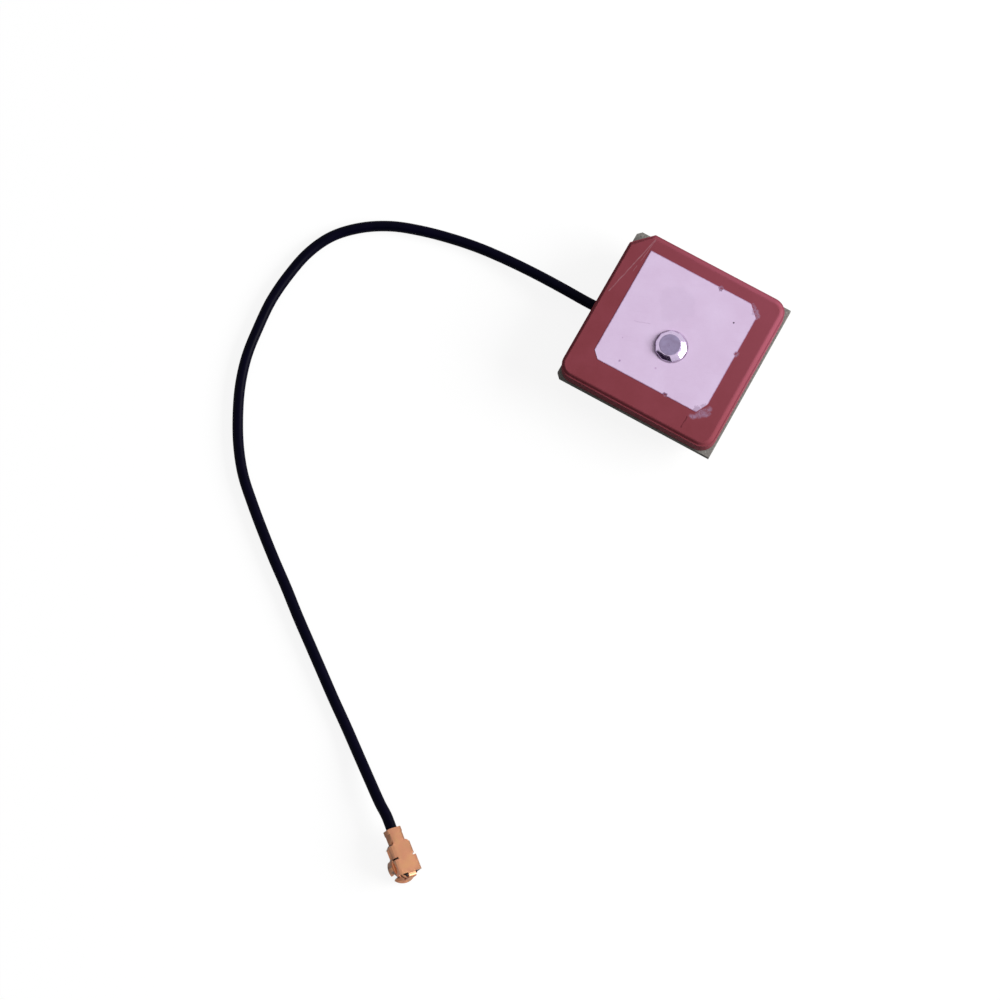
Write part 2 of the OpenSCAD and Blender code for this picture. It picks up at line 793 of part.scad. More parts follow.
// Spring fingers at both sides and the front, parted by slots; the ring is open behind
module ring() {
    difference() {
        union() {
            ring_wall(ring_r, ring_r - sheet_t, ring_h);
            translate([0, 0, ring_h - sheet_t])
                difference() {
                    cylinder(r = ring_r, h = sheet_t);
                    translate([-2 * ring_r, sheet_t - head_w / 2, -1])
                        cube([4 * ring_r, head_w - 2 * sheet_t, sheet_t + 2]);
                }
        }
        for (side = [-1, 1]) wedge(side * slot_from, side * slot_to, ring_h);
        translate([-2 * ring_r, sheet_t - arm_w / 2, -1]) cube([2 * ring_r, arm_w - 2 * sheet_t, ring_h + 2]);
        translate([-2 * ring_r, -ring_r, -1]) cube([2 * ring_r - wrap_front, 2 * ring_r, arm_low + 1]);
        for (side = [-1, 1])
            translate([head_front, side * (strip_w + relief_w) / 2 - relief_w / 2, ring_h - 2 * sheet_t])
                cube([ring_r, relief_w, ring_h]);
    }
}

module lip() {
    difference() {
        rotate_extrude()
            polygon([[ring_r - sheet_t, 0], [ring_r + lip_reach, 0], [ring_r + lip_reach, sheet_t / 2],
                     [ring_r - sheet_t / 2, 2 * sheet_t], [ring_r - sheet_t, 2 * sheet_t]]);
        wedge(slot_from, 180, ring_h);
        wedge(-slot_from, -180, ring_h);
    }
}

// A section of the folded sheet, seen along the plug: a top with two turned-down sides
module fold(w, low, bend) {
    difference() {
        fold_outline(w, low, bend);
        translate([0, -sheet_t]) fold_outline(w - 2 * sheet_t, low - 1, bend - sheet_t);
    }
}

module fold_outline(w, low, bend) {
    side = w / 2 - bend;
    translate([-w / 2, low]) square([w, plug_h - bend - low]);
    translate([-side, plug_h - 2 * bend]) square([2 * side, 2 * bend]);
    for (x = [-side, side]) translate([x, plug_h - bend]) circle(bend);
}

// Carries a section along the plug from x1 to x2
module along(x1, x2) {
    translate([x1, 0, 0]) rotate([90, 0, 90]) linear_extrude(x2 - x1) children();
}

module head() {
    along(-head_back, head_front) fold(head_w, ring_h - sheet_t, head_bend);
    translate([-wrap_front - sheet_t, wrap_bend - wrap_w / 2, plug_h - sheet_t])
        cube([head_front + wrap_front + sheet_t - strip_bend, wrap_w - 2 * wrap_bend, sheet_t]);
}

// The hinge strip that joins the lid to the ring's front, bent over at the top
module hinge_strip() {
    low = ring_h - 2 * sheet_t;
    rotate([90, 0, 0])
        linear_extrude(strip_w, center = true) {
            translate([ring_r - sheet_t, low]) square([sheet_t, plug_h - strip_bend - low]);
            translate([head_front / 2, plug_h - sheet_t])
                square([ring_r - strip_bend - head_front / 2, sheet_t]);
            translate([ring_r - strip_bend, plug_h - strip_bend])
                difference() {
                    circle(strip_bend);
                    circle(strip_bend - sheet_t);
                    translate([-strip_bend, -2 * strip_bend]) square([2 * strip_bend, 2 * strip_bend]);
                    translate([-2 * strip_bend, -strip_bend]) square([2 * strip_bend, 2 * strip_bend]);
                }
        }
}

module wrap_plan() {
    w = wrap_w / 2;
    polygon([[-wrap_back, wrap_cut - w], [wrap_cut - wrap_back, -w], [-wrap_front, -w],
             [-wrap_front, w], [wrap_cut - wrap_back, w], [-wrap_back, w - wrap_cut]]);
}

// The wrap behind the lid, its closed rear, and the ring's two arms inside it
module wrap() {
    bottom = axis_h - barrel_r;
    along(-braid_stop - sheet_t, -wrap_front) fold(wrap_w, wrap_low, wrap_bend);
    intersection() {
        linear_extrude(plug_h) wrap_plan();
        along(-wrap_back, -braid_stop)
            difference() {
                fold_outline(wrap_w, bottom, wrap_bend);
                translate([0, axis_h]) circle(braid_bore_r);
            }
    }
    for (side = [-1, 1])
        translate([-arm_back - sheet_t / 2, side * (arm_w - sheet_t) / 2 - sheet_t / 2, arm_low])
            cube([arm_back + sheet_t / 2 - arm_front, sheet_t, wrap_low + sheet_t - arm_low]);
}

// The barrel round the jacket and the braid, with the seam of its crimps below
module barrel() {
    grip_end = barrel_grip - mouth_back;
    difference() {
        union() {
            along(-mouth_back, barrel_band - mouth_back)
                translate([0, axis_h]) barrel_outline(barrel_r);
            along(-mouth_back, -wrap_back)
                translate([0, axis_h]) barrel_outline(barrel_r - barrel_step);
        }
        on_axis(-mouth_back - 1, grip_end, barrel_bore_r);
        on_axis(grip_end - 1, -wrap_back + 1, braid_bore_r);
        translate([-mouth_back - 1, 0, axis_h - barrel_r - seam_w / sqrt(2)])
            rotate([45, 0, 0]) cube([barrel_l + 1, seam_w, seam_w]);
    }
}

module barrel_outline(side) {
    flat = side - barrel_bend;
    rise = barrel_r - barrel_bend;
    square([2 * side, 2 * rise], center = true);
    square([2 * flat, 2 * barrel_r], center = true);
    for (x = [-flat, flat], y = [-rise, rise]) translate([x, y]) circle(barrel_bend);
}

// A round rod on the lead's axis, from x1 to x2 in the plug's frame
module on_axis(x1, x2, r) {
    translate([x1, 0, axis_h]) rotate([0, 90, 0]) cylinder(r = r, h = x2 - x1);
}

module plug_shell() {
    color([0.8, 0.56, 0.4])
        place_plug() {
            ring();
            lip();
            head();
            hinge_strip();
            wrap();
            barrel();
        }
}

// Moulded insulator, cut out for the contact and the wire
module plug_insulator() {
    puck_r = ring_r - sheet_t - fit_gap;
    w = min(arm_w, wrap_w) - 2 * sheet_t - 2 * fit_gap;
    top = plug_h - sheet_t - fit_gap;
    color([0.12, 0.08, 0.07])
        place_plug()
            difference() {
                union() {
                    translate([0, 0, puck_low])
                        cylinder(r = puck_r, h = ring_h - sheet_t - fit_gap - puck_low);
                    translate([fit_gap - braid_stop, -w / 2, puck_low])
                        cube([braid_stop + head_front - 2 * fit_gap, w, top - puck_low]);
                }
                contact_form();
                translate([0, 0, -1]) cylinder(r = socket_r, h = axis_h - core_d / 2 + 1);
                on_axis(-braid_stop - 1, stub_l - braid_stop, insulation_d / 2);
                on_axis(-braid_stop - 1, -wire_stop, core_d / 2);
            }
}

// Split socket in the ring's middle and the tail that takes the centre wire
module contact_form() {
    tail_top = axis_h - core_d / 2;
    translate([0, 0, socket_low])
        difference() {
            cylinder(r = socket_r, h = tail_top - socket_low);
            translate([0, 0, -1])
                cylinder(r = socket_r - socket_wall, h = tail_top - tail_t - socket_low + 1);
        }
    translate([-wire_stop - tail_w, -tail_w / 2, tail_top - tail_t])
        cube([wire_stop + tail_w, tail_w, tail_t]);
}

module plug_contact() {
    color([0.85, 0.7, 0.35])
        place_plug() contact_form();
}

module plug_braid() {
    color([0.7, 0.66, 0.6])
        place_plug() on_axis(barrel_grip - mouth_back, -braid_stop, braid_d / 2);
}

module plug_insulation() {
    color([0.92, 0.92, 0.9])
        place_plug() on_axis(-braid_stop, stub_l - braid_stop, insulation_d / 2);
}

module plug_core() {
    color([0.8, 0.76, 0.7])
        place_plug() on_axis(stub_l - braid_stop, -wire_stop, core_d / 2);
}

ceramic_tile();
patch_silver();
ground_silver();
feed_pin();
pin_collar();
adhesive_sheet();
circuit_board();
copper_top();
copper_under();
pin_joint();
shield_can();
can_solder();
amplifier_first();
amplifier_second();
amplifier_legs();
band_filter();
filter_lid();
capacitors();
resistors();
inductors();
chip_ends();
lead_braid();
braid_solder();
lead_insulation();
lead_core();
core_solder();
lead_jacket();
plug_shell();
plug_insulator();
plug_contact();
plug_braid();
plug_insulation();
plug_core();
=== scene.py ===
# %% [markdown]
# # A patch antenna, its lead and its plug
# The model measured in CAD comes in first and stays where it is. Everything after it is looks: finer
# edges, finishes and light. All lengths in Blender are metres, so a tile of 18 mm is 0.018 long.

# %% Load the measured model
import json
import math
import bmesh
import bpy
from mathutils import Matrix, Vector


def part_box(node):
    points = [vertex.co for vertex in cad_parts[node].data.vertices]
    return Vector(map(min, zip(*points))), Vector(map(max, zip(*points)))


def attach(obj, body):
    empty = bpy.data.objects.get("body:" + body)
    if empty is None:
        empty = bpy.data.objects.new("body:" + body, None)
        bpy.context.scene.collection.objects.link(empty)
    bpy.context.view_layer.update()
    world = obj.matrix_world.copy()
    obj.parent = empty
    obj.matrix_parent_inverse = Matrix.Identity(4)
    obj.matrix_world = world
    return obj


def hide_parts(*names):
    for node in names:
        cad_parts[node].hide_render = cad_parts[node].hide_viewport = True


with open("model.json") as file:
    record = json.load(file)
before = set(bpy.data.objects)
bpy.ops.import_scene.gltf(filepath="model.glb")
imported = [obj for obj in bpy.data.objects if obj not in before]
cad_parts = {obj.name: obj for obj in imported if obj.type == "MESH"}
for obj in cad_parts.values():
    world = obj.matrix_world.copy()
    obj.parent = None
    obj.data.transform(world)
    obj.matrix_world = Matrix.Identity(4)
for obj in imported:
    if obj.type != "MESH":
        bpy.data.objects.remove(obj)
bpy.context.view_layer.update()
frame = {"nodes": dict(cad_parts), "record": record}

MM = 0.001  # a millimetre in metres
TO_MM = 1000.0

parts = frame["nodes"]


# %% [markdown]
# ## The camera
# The object lies flat and was seen from almost straight above, through a long lens. A long lens far away
# keeps the square tile square, where a short one close by would make its near side larger. The camera is
# placed by two angles and a distance from a point between the tile and the plug.

# %% Camera
TURN, RISE = math.radians(29.15), math.radians(76.6)
AIM, AWAY = Vector((-0.0076, -0.0235, 0.0034)), 0.3714
LENS, SENSOR = 129.6, 36


def put_in(name, data):
    """A new object that holds these data, in the scene."""
    item = bpy.data.objects.new(name, data)
    bpy.context.collection.objects.link(item)
    return item


to_camera = Vector((math.sin(TURN) * math.cos(RISE), -math.cos(TURN) * math.cos(RISE), math.sin(RISE)))
camera = put_in("camera", bpy.data.cameras.new("camera"))
camera.data.lens, camera.data.sensor_width = LENS, SENSOR
camera.data.clip_start, camera.data.clip_end = 0.01, 20
camera.location = AIM + to_camera * AWAY
camera.rotation_mode = "QUATERNION"
camera.rotation_quaternion = (-to_camera).to_track_quat("-Z", "Y")
bpy.context.scene.camera = camera
print("camera at", [round(v, 4) for v in camera.location])

# %% [markdown]
# ## The lead
# A thin coaxial lead is soft but springy: it leaves the shield can level, sinks to the table within 19 mm,
# runs round in one wide bend and rises again into the plug. A curve object is the natural way to make it,
# because its bevel is the lead's real thickness and stays round in every bend. The points are the ones the
# CAD model uses, and a smooth line is drawn through them. The finished curve is turned into a mesh, which
# any program can read.

# %% Route of the lead
LEAD_D = 0.00113  # thickness, in metres
LYING = 0.58  # height of the centre, in mm, where the lead lies on the table
DOWN_FROM_CAN = [
    (-6.2, -0.1, 2.0), (-7.8, -0.1, 2.0), (-9.05, -0.1, 2.0), (-10.6, -0.1, 1.98), (-13.4, 0, 1.84),
    (-16.6, 0.1, 1.46), (-19.9, 0.1, 1), (-23.2, -0.1, 0.68),
]
ON_TABLE = [
    (-26.3, -0.6), (-29.5, -1.4), (-32.5, -2.5), (-35.2, -4.2), (-37.4, -6.5), (-38.7, -9.3),
    (-39.3, -12.5), (-39.5, -15.8), (-39.2, -19.1), (-38.7, -22.3), (-37.7, -25.4), (-36.3, -28.3),
    (-34.6, -31.1), (-32.6, -33.6), (-30.2, -35.8), (-27.7, -37.9), (-25.2, -39.9), (-22.7, -41.8),
    (-20.2, -43.8), (-17.7, -45.7), (-15.2, -47.6), (-12.7, -49.5),
]
UP_TO_PLUG = [
    (-10.1, -51.4, 0.6), (-7.6, -53.3, 0.86), (-5.1, -55.2, 1.32), (-3.1, -56.7, 1.6),
    (-1.807, -57.546, 1.732), (-0.65, -58.5, 1.732), (0.276, -59.263, 1.732),
]
route = [Vector(p) * MM for p in (*DOWN_FROM_CAN, *((x, y, LYING) for x, y in ON_TABLE), *UP_TO_PLUG)]


def smooth_line(points, steps):
    """Points on a smooth curve that passes through all the given ones."""
    ends = [2 * points[0] - points[1], *points, 2 * points[-1] - points[-2]]
    line = []
    for a, b, c, d in zip(ends, ends[1:], ends[2:], ends[3:]):
        for i in range(steps):
            t = i / steps
            line.append(0.5 * (2 * b + (c - a) * t + (2 * a - 5 * b + 4 * c - d) * t * t
                               + (3 * b - a - 3 * c + d) * t ** 3))
    return line + [points[-1]]


line = smooth_line(route, 6)


# %% The lead as a curve with a round bevel
def rest_tools():
    """Object mode with nothing selected."""
    if bpy.context.object and bpy.context.object.mode != "OBJECT":
        bpy.ops.object.mode_set(mode="OBJECT")
    bpy.ops.object.select_all(action="DESELECT")


def take_up(piece):
    """Makes a piece the active one, and the only one selected."""
    rest_tools()
    piece.select_set(True)
    bpy.context.view_layer.objects.active = piece


curve = bpy.data.curves.new("lead", "CURVE")
curve.dimensions = "3D"
curve.bevel_depth = LEAD_D / 2
curve.bevel_resolution = 6
curve.use_fill_caps = True
spline = curve.splines.new("POLY")
spline.points.add(len(line) - 1)
for point, place in zip(spline.points, line):
    point.co = (*place, 1)
spline.use_smooth = True
lead = put_in("lead", curve)
take_up(lead)
bpy.ops.object.convert(target="MESH")
print("lead mesh has", len(lead.data.polygons), "faces")
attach(lead, "root")
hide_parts("lead_jacket")

# %% [markdown]
# ## Colours and wires
# A screen colour from 0 to 255 isn't what a shader needs: light adds up in straight values, so each colour
# is straightened first. The second helper adds nodes to a tree and joins them, so that a finish can be read
# from top to bottom as a recipe. In every recipe, w is the wiring of the tree at hand.

# %% Colours
def ink(red, green, blue):
    """A screen colour, 0 to 255, as the straight values that a shader takes."""
    straight = [c / 12.92 if c <= 0.04045 else ((c + 0.055) / 1.055) ** 2.4
                for c in (red / 255, green / 255, blue / 255)]
    return (*straight, 1.0)


print("ceramic red in straight values", [round(c, 3) for c in ink(131, 63, 73)])


# %% Wiring of nodes
class Wiring:
    """Adds nodes to a tree and joins them to each other."""

    def __init__(self, tree):
        self.tree = tree

    def join(self, value, socket):
        if isinstance(value, bpy.types.NodeSocket):
            self.tree.links.new(value, socket)
        else:
            socket.default_value = value

    def add(self, kind, inputs=None, **settings):
        node = self.tree.nodes.new("ShaderNode" + kind)
        for name, value in settings.items():
            setattr(node, name, value)
        for name, value in (inputs or {}).items():
            self.join(value, node.inputs[name])
        return node

    def math(self, operation, a, b=0.0, clamp=False):
        return self.add("Math", {0: a, 1: b}, operation=operation, use_clamp=clamp).outputs[0]

    def plus(self, a, b, clamp=False):
        return self.math("ADD", a, b, clamp)

    def minus(self, a, b):
        return self.math("SUBTRACT", a, b)

    def times(self, a, b):
        return self.math("MULTIPLY", a, b)

    def over(self, a, b, clamp=False):
        return self.math("DIVIDE", a, b, clamp)

    def larger(self, a, b):
        return self.math("MAXIMUM", a, b)

    def vector(self, operation, a, b=(0, 0, 0)):
        node = self.add("VectorMath", {0: a, 1: b}, operation=operation)
        return node.outputs["Value" if operation in ("DISTANCE", "DOT_PRODUCT") else "Vector"]

    def stretch(self, a, by):
        return self.add("VectorMath", {0: a, "Scale": by}, operation="SCALE").outputs["Vector"]

    def split(self, place):
        """The three numbers of a place."""
        return self.add("SeparateXYZ", {0: place}).outputs

    def fade(self, value, low, high):
        """0 up to low, 1 from high on, with a soft step between them."""
        node = self.add("MapRange", {"Value": value, "From Min": low, "From Max": high},
                        interpolation_type="SMOOTHSTEP")
        return node.outputs["Result"]

    def fall(self, value, low, high):
        """1 up to low, 0 from high on."""
        return self.minus(1.0, self.fade(value, low, high))

    def noise(self, place, scale, detail=2.0, rough=0.5):
        node = self.add("TexNoise", {"Vector": place, "Scale": scale, "Detail": detail,
                                     "Roughness": rough})
        return node.outputs[0]

    def waves(self, value, length):
        """A sine wave, from -1 to 1, of that length."""
        return self.math("SINE", self.times(value, 2 * math.pi / length))

    def mix(self, mask, first, second):
        """The first colour where the mask is 0, the second where it is 1."""
        return self.add("Mix", {0: mask, 6: first, 7: second}, data_type="RGBA").outputs[2]

    def paint(self, colour, mask, strength, tone):
        """Lays a tone over a colour where the mask is. At a strength of 1 it covers."""
        return self.mix(self.times(mask, strength), colour, ink(*tone))

    def level(self, mask, first, second):
        """A number between two levels."""
        return self.add("Mix", {0: mask, 2: first, 3: second}, data_type="FLOAT").outputs[0]


# %% [markdown]
# ## Effects that many finishes share
# Clouds of slightly different tone, fine grain, specks, scratches and single marks turn up on ceramic,
# silver, tin and gold alike. Pictures of them could be laid over the pieces, but a pattern that is worked
# out has no seams and stays sharp from near by. Each is built once, as a node group with named sockets, and
# placed in a material with its own sizes. All sizes are millimetres, because the place that a material hands
# to a group is already in them.

# %% Node groups
def new_group(name, gives, **takes):
    """An empty node group that takes a place and these values and gives one number."""
    tree = bpy.data.node_groups.new(name, "ShaderNodeTree")
    for label, value in {"Place": (0, 0, 0), **takes}.items():
        kind = "NodeSocketVector" if isinstance(value, tuple) else "NodeSocketFloat"
        tree.interface.new_socket(label, in_out="INPUT", socket_type=kind).default_value = value
    tree.interface.new_socket(gives, in_out="OUTPUT", socket_type="NodeSocketFloat")
    taken = tree.nodes.new("NodeGroupInput").outputs
    print("group", name, "takes a place,", ", ".join(takes))
    return Wiring(tree), taken, tree.nodes.new("NodeGroupOutput").inputs[gives]


def effect(wiring, name, place, **values):
    """Puts a group into a material and gives its output."""
    node = wiring.add("Group", node_tree=bpy.data.node_groups[name])
    for label, value in {"Place": place, **values}.items():
        wiring.join(value, node.inputs[label])
    return node.outputs[0]


# %% Clouds: patches of another tone
w, take, mask = new_group("cloud", "Mask", Spread=2.0, Edge=0.25)
swell = w.noise(take["Place"], w.over(1.0, take["Spread"]), 4.0, 0.6)
w.join(w.fade(swell, w.minus(0.5, take["Edge"]), w.plus(0.5, take["Edge"])), mask)

# %% Grain: a fine rough surface, as a height
w, take, height = new_group("grain", "Height", Size=0.1)
fine = w.noise(take["Place"], w.over(1.0, take["Size"]), 3.0, 0.6)
coarse = w.noise(take["Place"], w.over(0.25, take["Size"]), 1.0)
w.join(w.plus(w.times(fine, 0.6), w.times(coarse, 0.4)), height)

# %% Specks: separate small dots, here and there
w, take, mask = new_group("specks", "Mask", Spacing=1.0, Radius=0.05, Share=0.3)
cells = w.add("TexVoronoi", {"Vector": take["Place"], "Scale": w.over(1.0, take["Spacing"])}).outputs
reach = w.times(cells["Distance"], take["Spacing"])
dots = w.fall(reach, w.times(take["Radius"], 0.6), take["Radius"])
lucky = w.add("SeparateColor", {0: cells["Color"]}).outputs[0]
w.join(w.times(dots, w.math("LESS_THAN", lucky, take["Share"])), mask)

# %% Scratches: fine lines in one direction
w, take, mask = new_group("scratches", "Mask", Turn=0.0, Length=4.0, Width=0.05, Share=0.1)
turned = w.add("VectorRotate", {"Vector": take["Place"], "Angle": take["Turn"]}, rotation_type="Z_AXIS")
along, across, up = w.split(turned.outputs[0])
drawn = w.add("CombineXYZ", {0: w.over(along, take["Length"]), 1: w.over(across, take["Width"]),
                             2: w.over(up, take["Width"])}).outputs[0]
streaks = w.noise(drawn, 1.0, 1.0)
limit = w.minus(0.75, w.times(take["Share"], 0.5))
w.join(w.fade(streaks, limit, w.plus(limit, 0.06)), mask)

# %% Smudge: one ragged mark at a chosen place
w, take, mask = new_group("smudge", "Mask", Centre=(0, 0, 0), Radius=0.3, Ragged=0.3, Speckle=0.12)
away = w.vector("DISTANCE", take["Place"], take["Centre"])
crumbs = w.minus(w.noise(take["Place"], w.over(1.0, take["Speckle"]), 3.0, 0.6), 0.5)
edge = w.plus(away, w.times(w.times(crumbs, take["Ragged"]), 4.0))
w.join(w.fall(edge, w.times(take["Radius"], 0.75), take["Radius"]), mask)

# %% Line: a hair crack or a scratch between two points
w, take, mask = new_group("line", "Mask", From=(0, 0, 0), To=(1, 0, 0), Width=0.05, Wander=0.1)
sway = w.add("TexNoise", {"Vector": take["Place"], "Scale": 1.3, "Detail": 2.0}).outputs[1]
bent = w.stretch(w.vector("SUBTRACT", sway, (0.5, 0.5, 0.5)), take["Wander"])
offset = w.vector("SUBTRACT", w.vector("ADD", take["Place"], bent), take["From"])
stroke = w.vector("SUBTRACT", take["To"], take["From"])
share = w.over(w.vector("DOT_PRODUCT", offset, stroke), w.vector("DOT_PRODUCT", stroke, stroke), clamp=True)
apart = w.vector("DISTANCE", offset, w.stretch(stroke, share))
w.join(w.fall(apart, w.times(take["Width"], 0.3), take["Width"]), mask)


# %% [markdown]
# ## Starting and ending a finish
# Every finish starts the same way: a Principled shader with its fixed numbers set on its own sockets, and
# the place on the object, in millimetres, that all patterns read. Object coordinates are used and never a
# camera or a screen, so that the pattern stays on the surface from every side. Every finish also ends the
# same way, with a colour, a roughness and a height that makes small bumps.

# %% Starting and ending a finish
finishes = {}


def new_material(name, **fixed):
    """A material with its fixed sockets set. Gives the material, its wiring and its shader."""
    material = bpy.data.materials.new(name)
    material.use_nodes = True
    shader = material.node_tree.nodes["Principled BSDF"]
    for label, value in fixed.items():
        shader.inputs[label.replace("_", " ")].default_value = value
    return material, Wiring(material.node_tree), shader


def new_finish(slot, name, **fixed):
    """The finish of a slot. Gives its wiring and the place on the object in millimetres."""
    finishes[slot], wiring = new_material(name, **fixed)[:2]
    return wiring, wiring.stretch(wiring.add("TexCoord").outputs["Object"], TO_MM)


def dress(slot, colour, roughness, height, depth, metallic=None):
    """Joins a recipe to the shader of a finish. The height makes bumps of that depth in mm."""
    tree = finishes[slot].node_tree
    wiring, sockets = Wiring(tree), tree.nodes["Principled BSDF"].inputs
    wiring.join(colour, sockets["Base Color"])
    wiring.join(roughness, sockets["Roughness"])
    bump = wiring.add("Bump", {"Height": height, "Distance": depth * MM})
    wiring.join(bump.outputs[0], sockets["Normal"])
    if metallic is not None:
        wiring.join(metallic, sockets["Metallic"])
    print(finishes[slot].name, "has", len(tree.nodes), "nodes")


# %% [markdown]
# ## Fired ceramic
# The tile is a pressed and fired microwave ceramic, a dull brick red with a faint satin skin. Up close it
# isn't one colour: the firing leaves soft clouds, there are a few dark pores, and where the silver was
# trimmed at a corner or at an edge, some of it was smeared over the red. One hair crack starts near the front
# corner and a long pale scratch crosses the back corner. None of this is thick enough to be modelled, so each
# mark is a mask that lays its own tone over the red. A paler tone towards the far corner, strongest on its
# rim, is a painted sheen and a painted highlight on the side that faces the soft box.

# %% Places on the tile, in millimetres
TILE_W, TILE_T, TILE_FOOT = 17.9, 2.0, 3.53
TILE_X, TILE_Y = -0.08, -0.05
TILE_TOP = TILE_FOOT + TILE_T
SILVER_TOP = TILE_TOP + 0.03


def drawn_line(wiring, place, height, start, end, width, wander):
    """A line between two points at one height."""
    return effect(wiring, "line", place, From=(*start, height), To=(*end, height), Width=width,
                  Wander=wander)


print("tile from", TILE_FOOT, "to", round(TILE_TOP, 2), "mm above the table")

# %% Ceramic: clouds, pores, crack, scratch and painted sheen
w, place = new_finish("tile_ceramic", "fired ceramic", IOR=1.5, Specular_IOR_Level=0.2)
clouds = effect(w, "cloud", place, Spread=3.2, Edge=0.3)
pores = effect(w, "specks", place, Spacing=0.8, Radius=0.035, Share=0.35)
crack = drawn_line(w, place, TILE_TOP, (5.2, -6.85), (5.2, -8.1), 0.1, 0.3)
long_scratch = drawn_line(w, place, TILE_TOP, (-6.75, 8.4), (-8.35, 1.1), 0.075, 0.15)
short_scratch = drawn_line(w, place, TILE_TOP, (-6.7, 8.3), (-7.2, 4.2), 0.045, 0.25)
broken = effect(w, "cloud", place, Spread=0.7, Edge=0.3)
scratch = w.times(w.larger(long_scratch, short_scratch), w.level(broken, 0.1, 0.48))
x, y = w.split(place)[:2]
# Painted sheen: paler towards the far corner, on the soft box's side, with a painted highlight on the rim
# there.
painted_sheen = w.fade(w.vector("DOT_PRODUCT", place, (0.05, 0.06, 0)), -0.3, 0.9)
painted_rim_highlight = w.fade(w.larger(x, y), 8.1, 8.5)
colour = w.mix(clouds, ink(124, 51, 60), ink(133, 59, 70))
colour = w.paint(colour, painted_sheen, w.level(painted_rim_highlight, 0.4, 0.9), (151, 74, 91))
colour = w.paint(colour, pores, 0.5, (84, 22, 34))
colour = w.paint(colour, crack, 0.6, (78, 14, 24))
colour = w.mix(scratch, colour, ink(180, 142, 152))

# %% Ceramic: silver smeared over it
SMEARS = [  # start, end and width of each stroke
    ((5.5, 7.1), (6.45, 5.9), 0.2), ((6.1, 6.6), (6.5, 6.2), 0.3), ((5.65, -6.5), (6.8, -4.95), 0.4),
    ((6.3, -6.1), (6.9, -5.5), 0.34), ((1.6, 7.12), (1.9, 7.12), 0.2), ((6.55, 1.4), (6.6, 1.7), 0.17),
    ((2.1, -6.0), (2.3, -6.05), 0.14),
]
smears = 0.0
for start, end, width in SMEARS:
    smears = w.larger(smears, drawn_line(w, place, TILE_TOP, start, end, width, 0.5))
crumbs = w.fade(effect(w, "grain", place, Size=0.1), 0.42, 0.56)
smears = w.times(smears, w.level(crumbs, 0.25, 0.95))
colour = w.mix(smears, colour, ink(158, 122, 148))
height = w.minus(effect(w, "grain", place, Size=0.16), w.times(crack, 1.5))
height = w.minus(height, w.times(pores, 0.6))
dress("tile_ceramic", colour, w.level(clouds, 0.74, 0.84), height, 0.006, metallic=w.times(smears, 0.5))

# %% [markdown]
# ## Fired silver
# The patch is silver paste, printed through a screen and fired. It never gets bright: it stays a matt, pale
# skin with a lavender cast, with faint clouds, a few rub marks and dirt specks. Fired paste is silver full
# of glass, and it scatters light as paint does, so the shader is mostly paint with a little metal in it.

# %% Silver: clouds, rub marks and dirt
w, place = new_finish("fired_silver", "fired silver", Metallic=0.12, Specular_IOR_Level=0.25)
clouds = effect(w, "cloud", place, Spread=3.5, Edge=0.35)
rubs = effect(w, "scratches", place, Turn=-0.38, Length=2.6, Width=0.05, Share=0.12)
stains = effect(w, "smudge", place, Centre=(-1.5, 3.2, SILVER_TOP), Radius=2.2, Ragged=0.5, Speckle=1.3)
dots = effect(w, "specks", place, Spacing=1.1, Radius=0.045, Share=0.25)
colour = w.mix(clouds, ink(210, 186, 216), ink(219, 198, 227))
colour = w.paint(colour, rubs, 0.18, (176, 150, 180))
colour = w.paint(colour, stains, 0.12, (180, 160, 190))
colour = w.paint(colour, dots, 0.35, (140, 112, 145))

# %% Silver: single marks, and nicks on its edge
MARKS = [  # centre, radius, strength and tone of each
    ((4.62, 4.37), 0.12, 0.95, (52, 30, 58)), ((-3.77, -4.97), 0.13, 0.6, (140, 104, 150)),
    ((-0.13, -3.86), 0.13, 0.45, (170, 128, 176)), ((-4.7, -2.63), 0.09, 0.4, (160, 124, 168)),
    ((1.72, 6.95), 0.3, 0.8, (130, 98, 128)), ((6.4, 1.52), 0.27, 0.7, (150, 112, 142)),
    ((2.05, -5.85), 0.25, 0.85, (112, 70, 104)), ((5.75, -5.7), 0.5, 0.65, (166, 140, 170)),
    ((6.25, -5.1), 0.4, 0.6, (172, 146, 176)), ((6.05, 6.5), 0.42, 0.6, (172, 142, 172)),
    ((5.5, 7.15), 0.3, 0.5, (178, 150, 180)),
]
for centre, radius, strength, tone in MARKS:
    mark = effect(w, "smudge", place, Centre=(*centre, SILVER_TOP), Radius=radius, Ragged=radius * 0.45,
                  Speckle=0.2)
    colour = w.paint(colour, mark, strength, tone)

# %% Silver: thin outer edge, painted shade round the solder's foot, and one streak
PATCH_X, PATCH_Y = TILE_X, 0.57
SOLDER_X, SOLDER_Y, SOLDER_R = 0.17, -1.06, 1.75
x, y = w.split(place)[:2]
from_middle = w.larger(w.math("ABSOLUTE", w.minus(x, PATCH_X)), w.math("ABSOLUTE", w.minus(y, PATCH_Y)))
feather = w.fade(w.plus(from_middle, w.times(w.noise(place, 3.0), 0.12)), 6.45, 6.59)
colour = w.paint(colour, feather, 0.8, (148, 102, 140))
from_solder = w.vector("DISTANCE", place, (SOLDER_X, SOLDER_Y, SILVER_TOP))
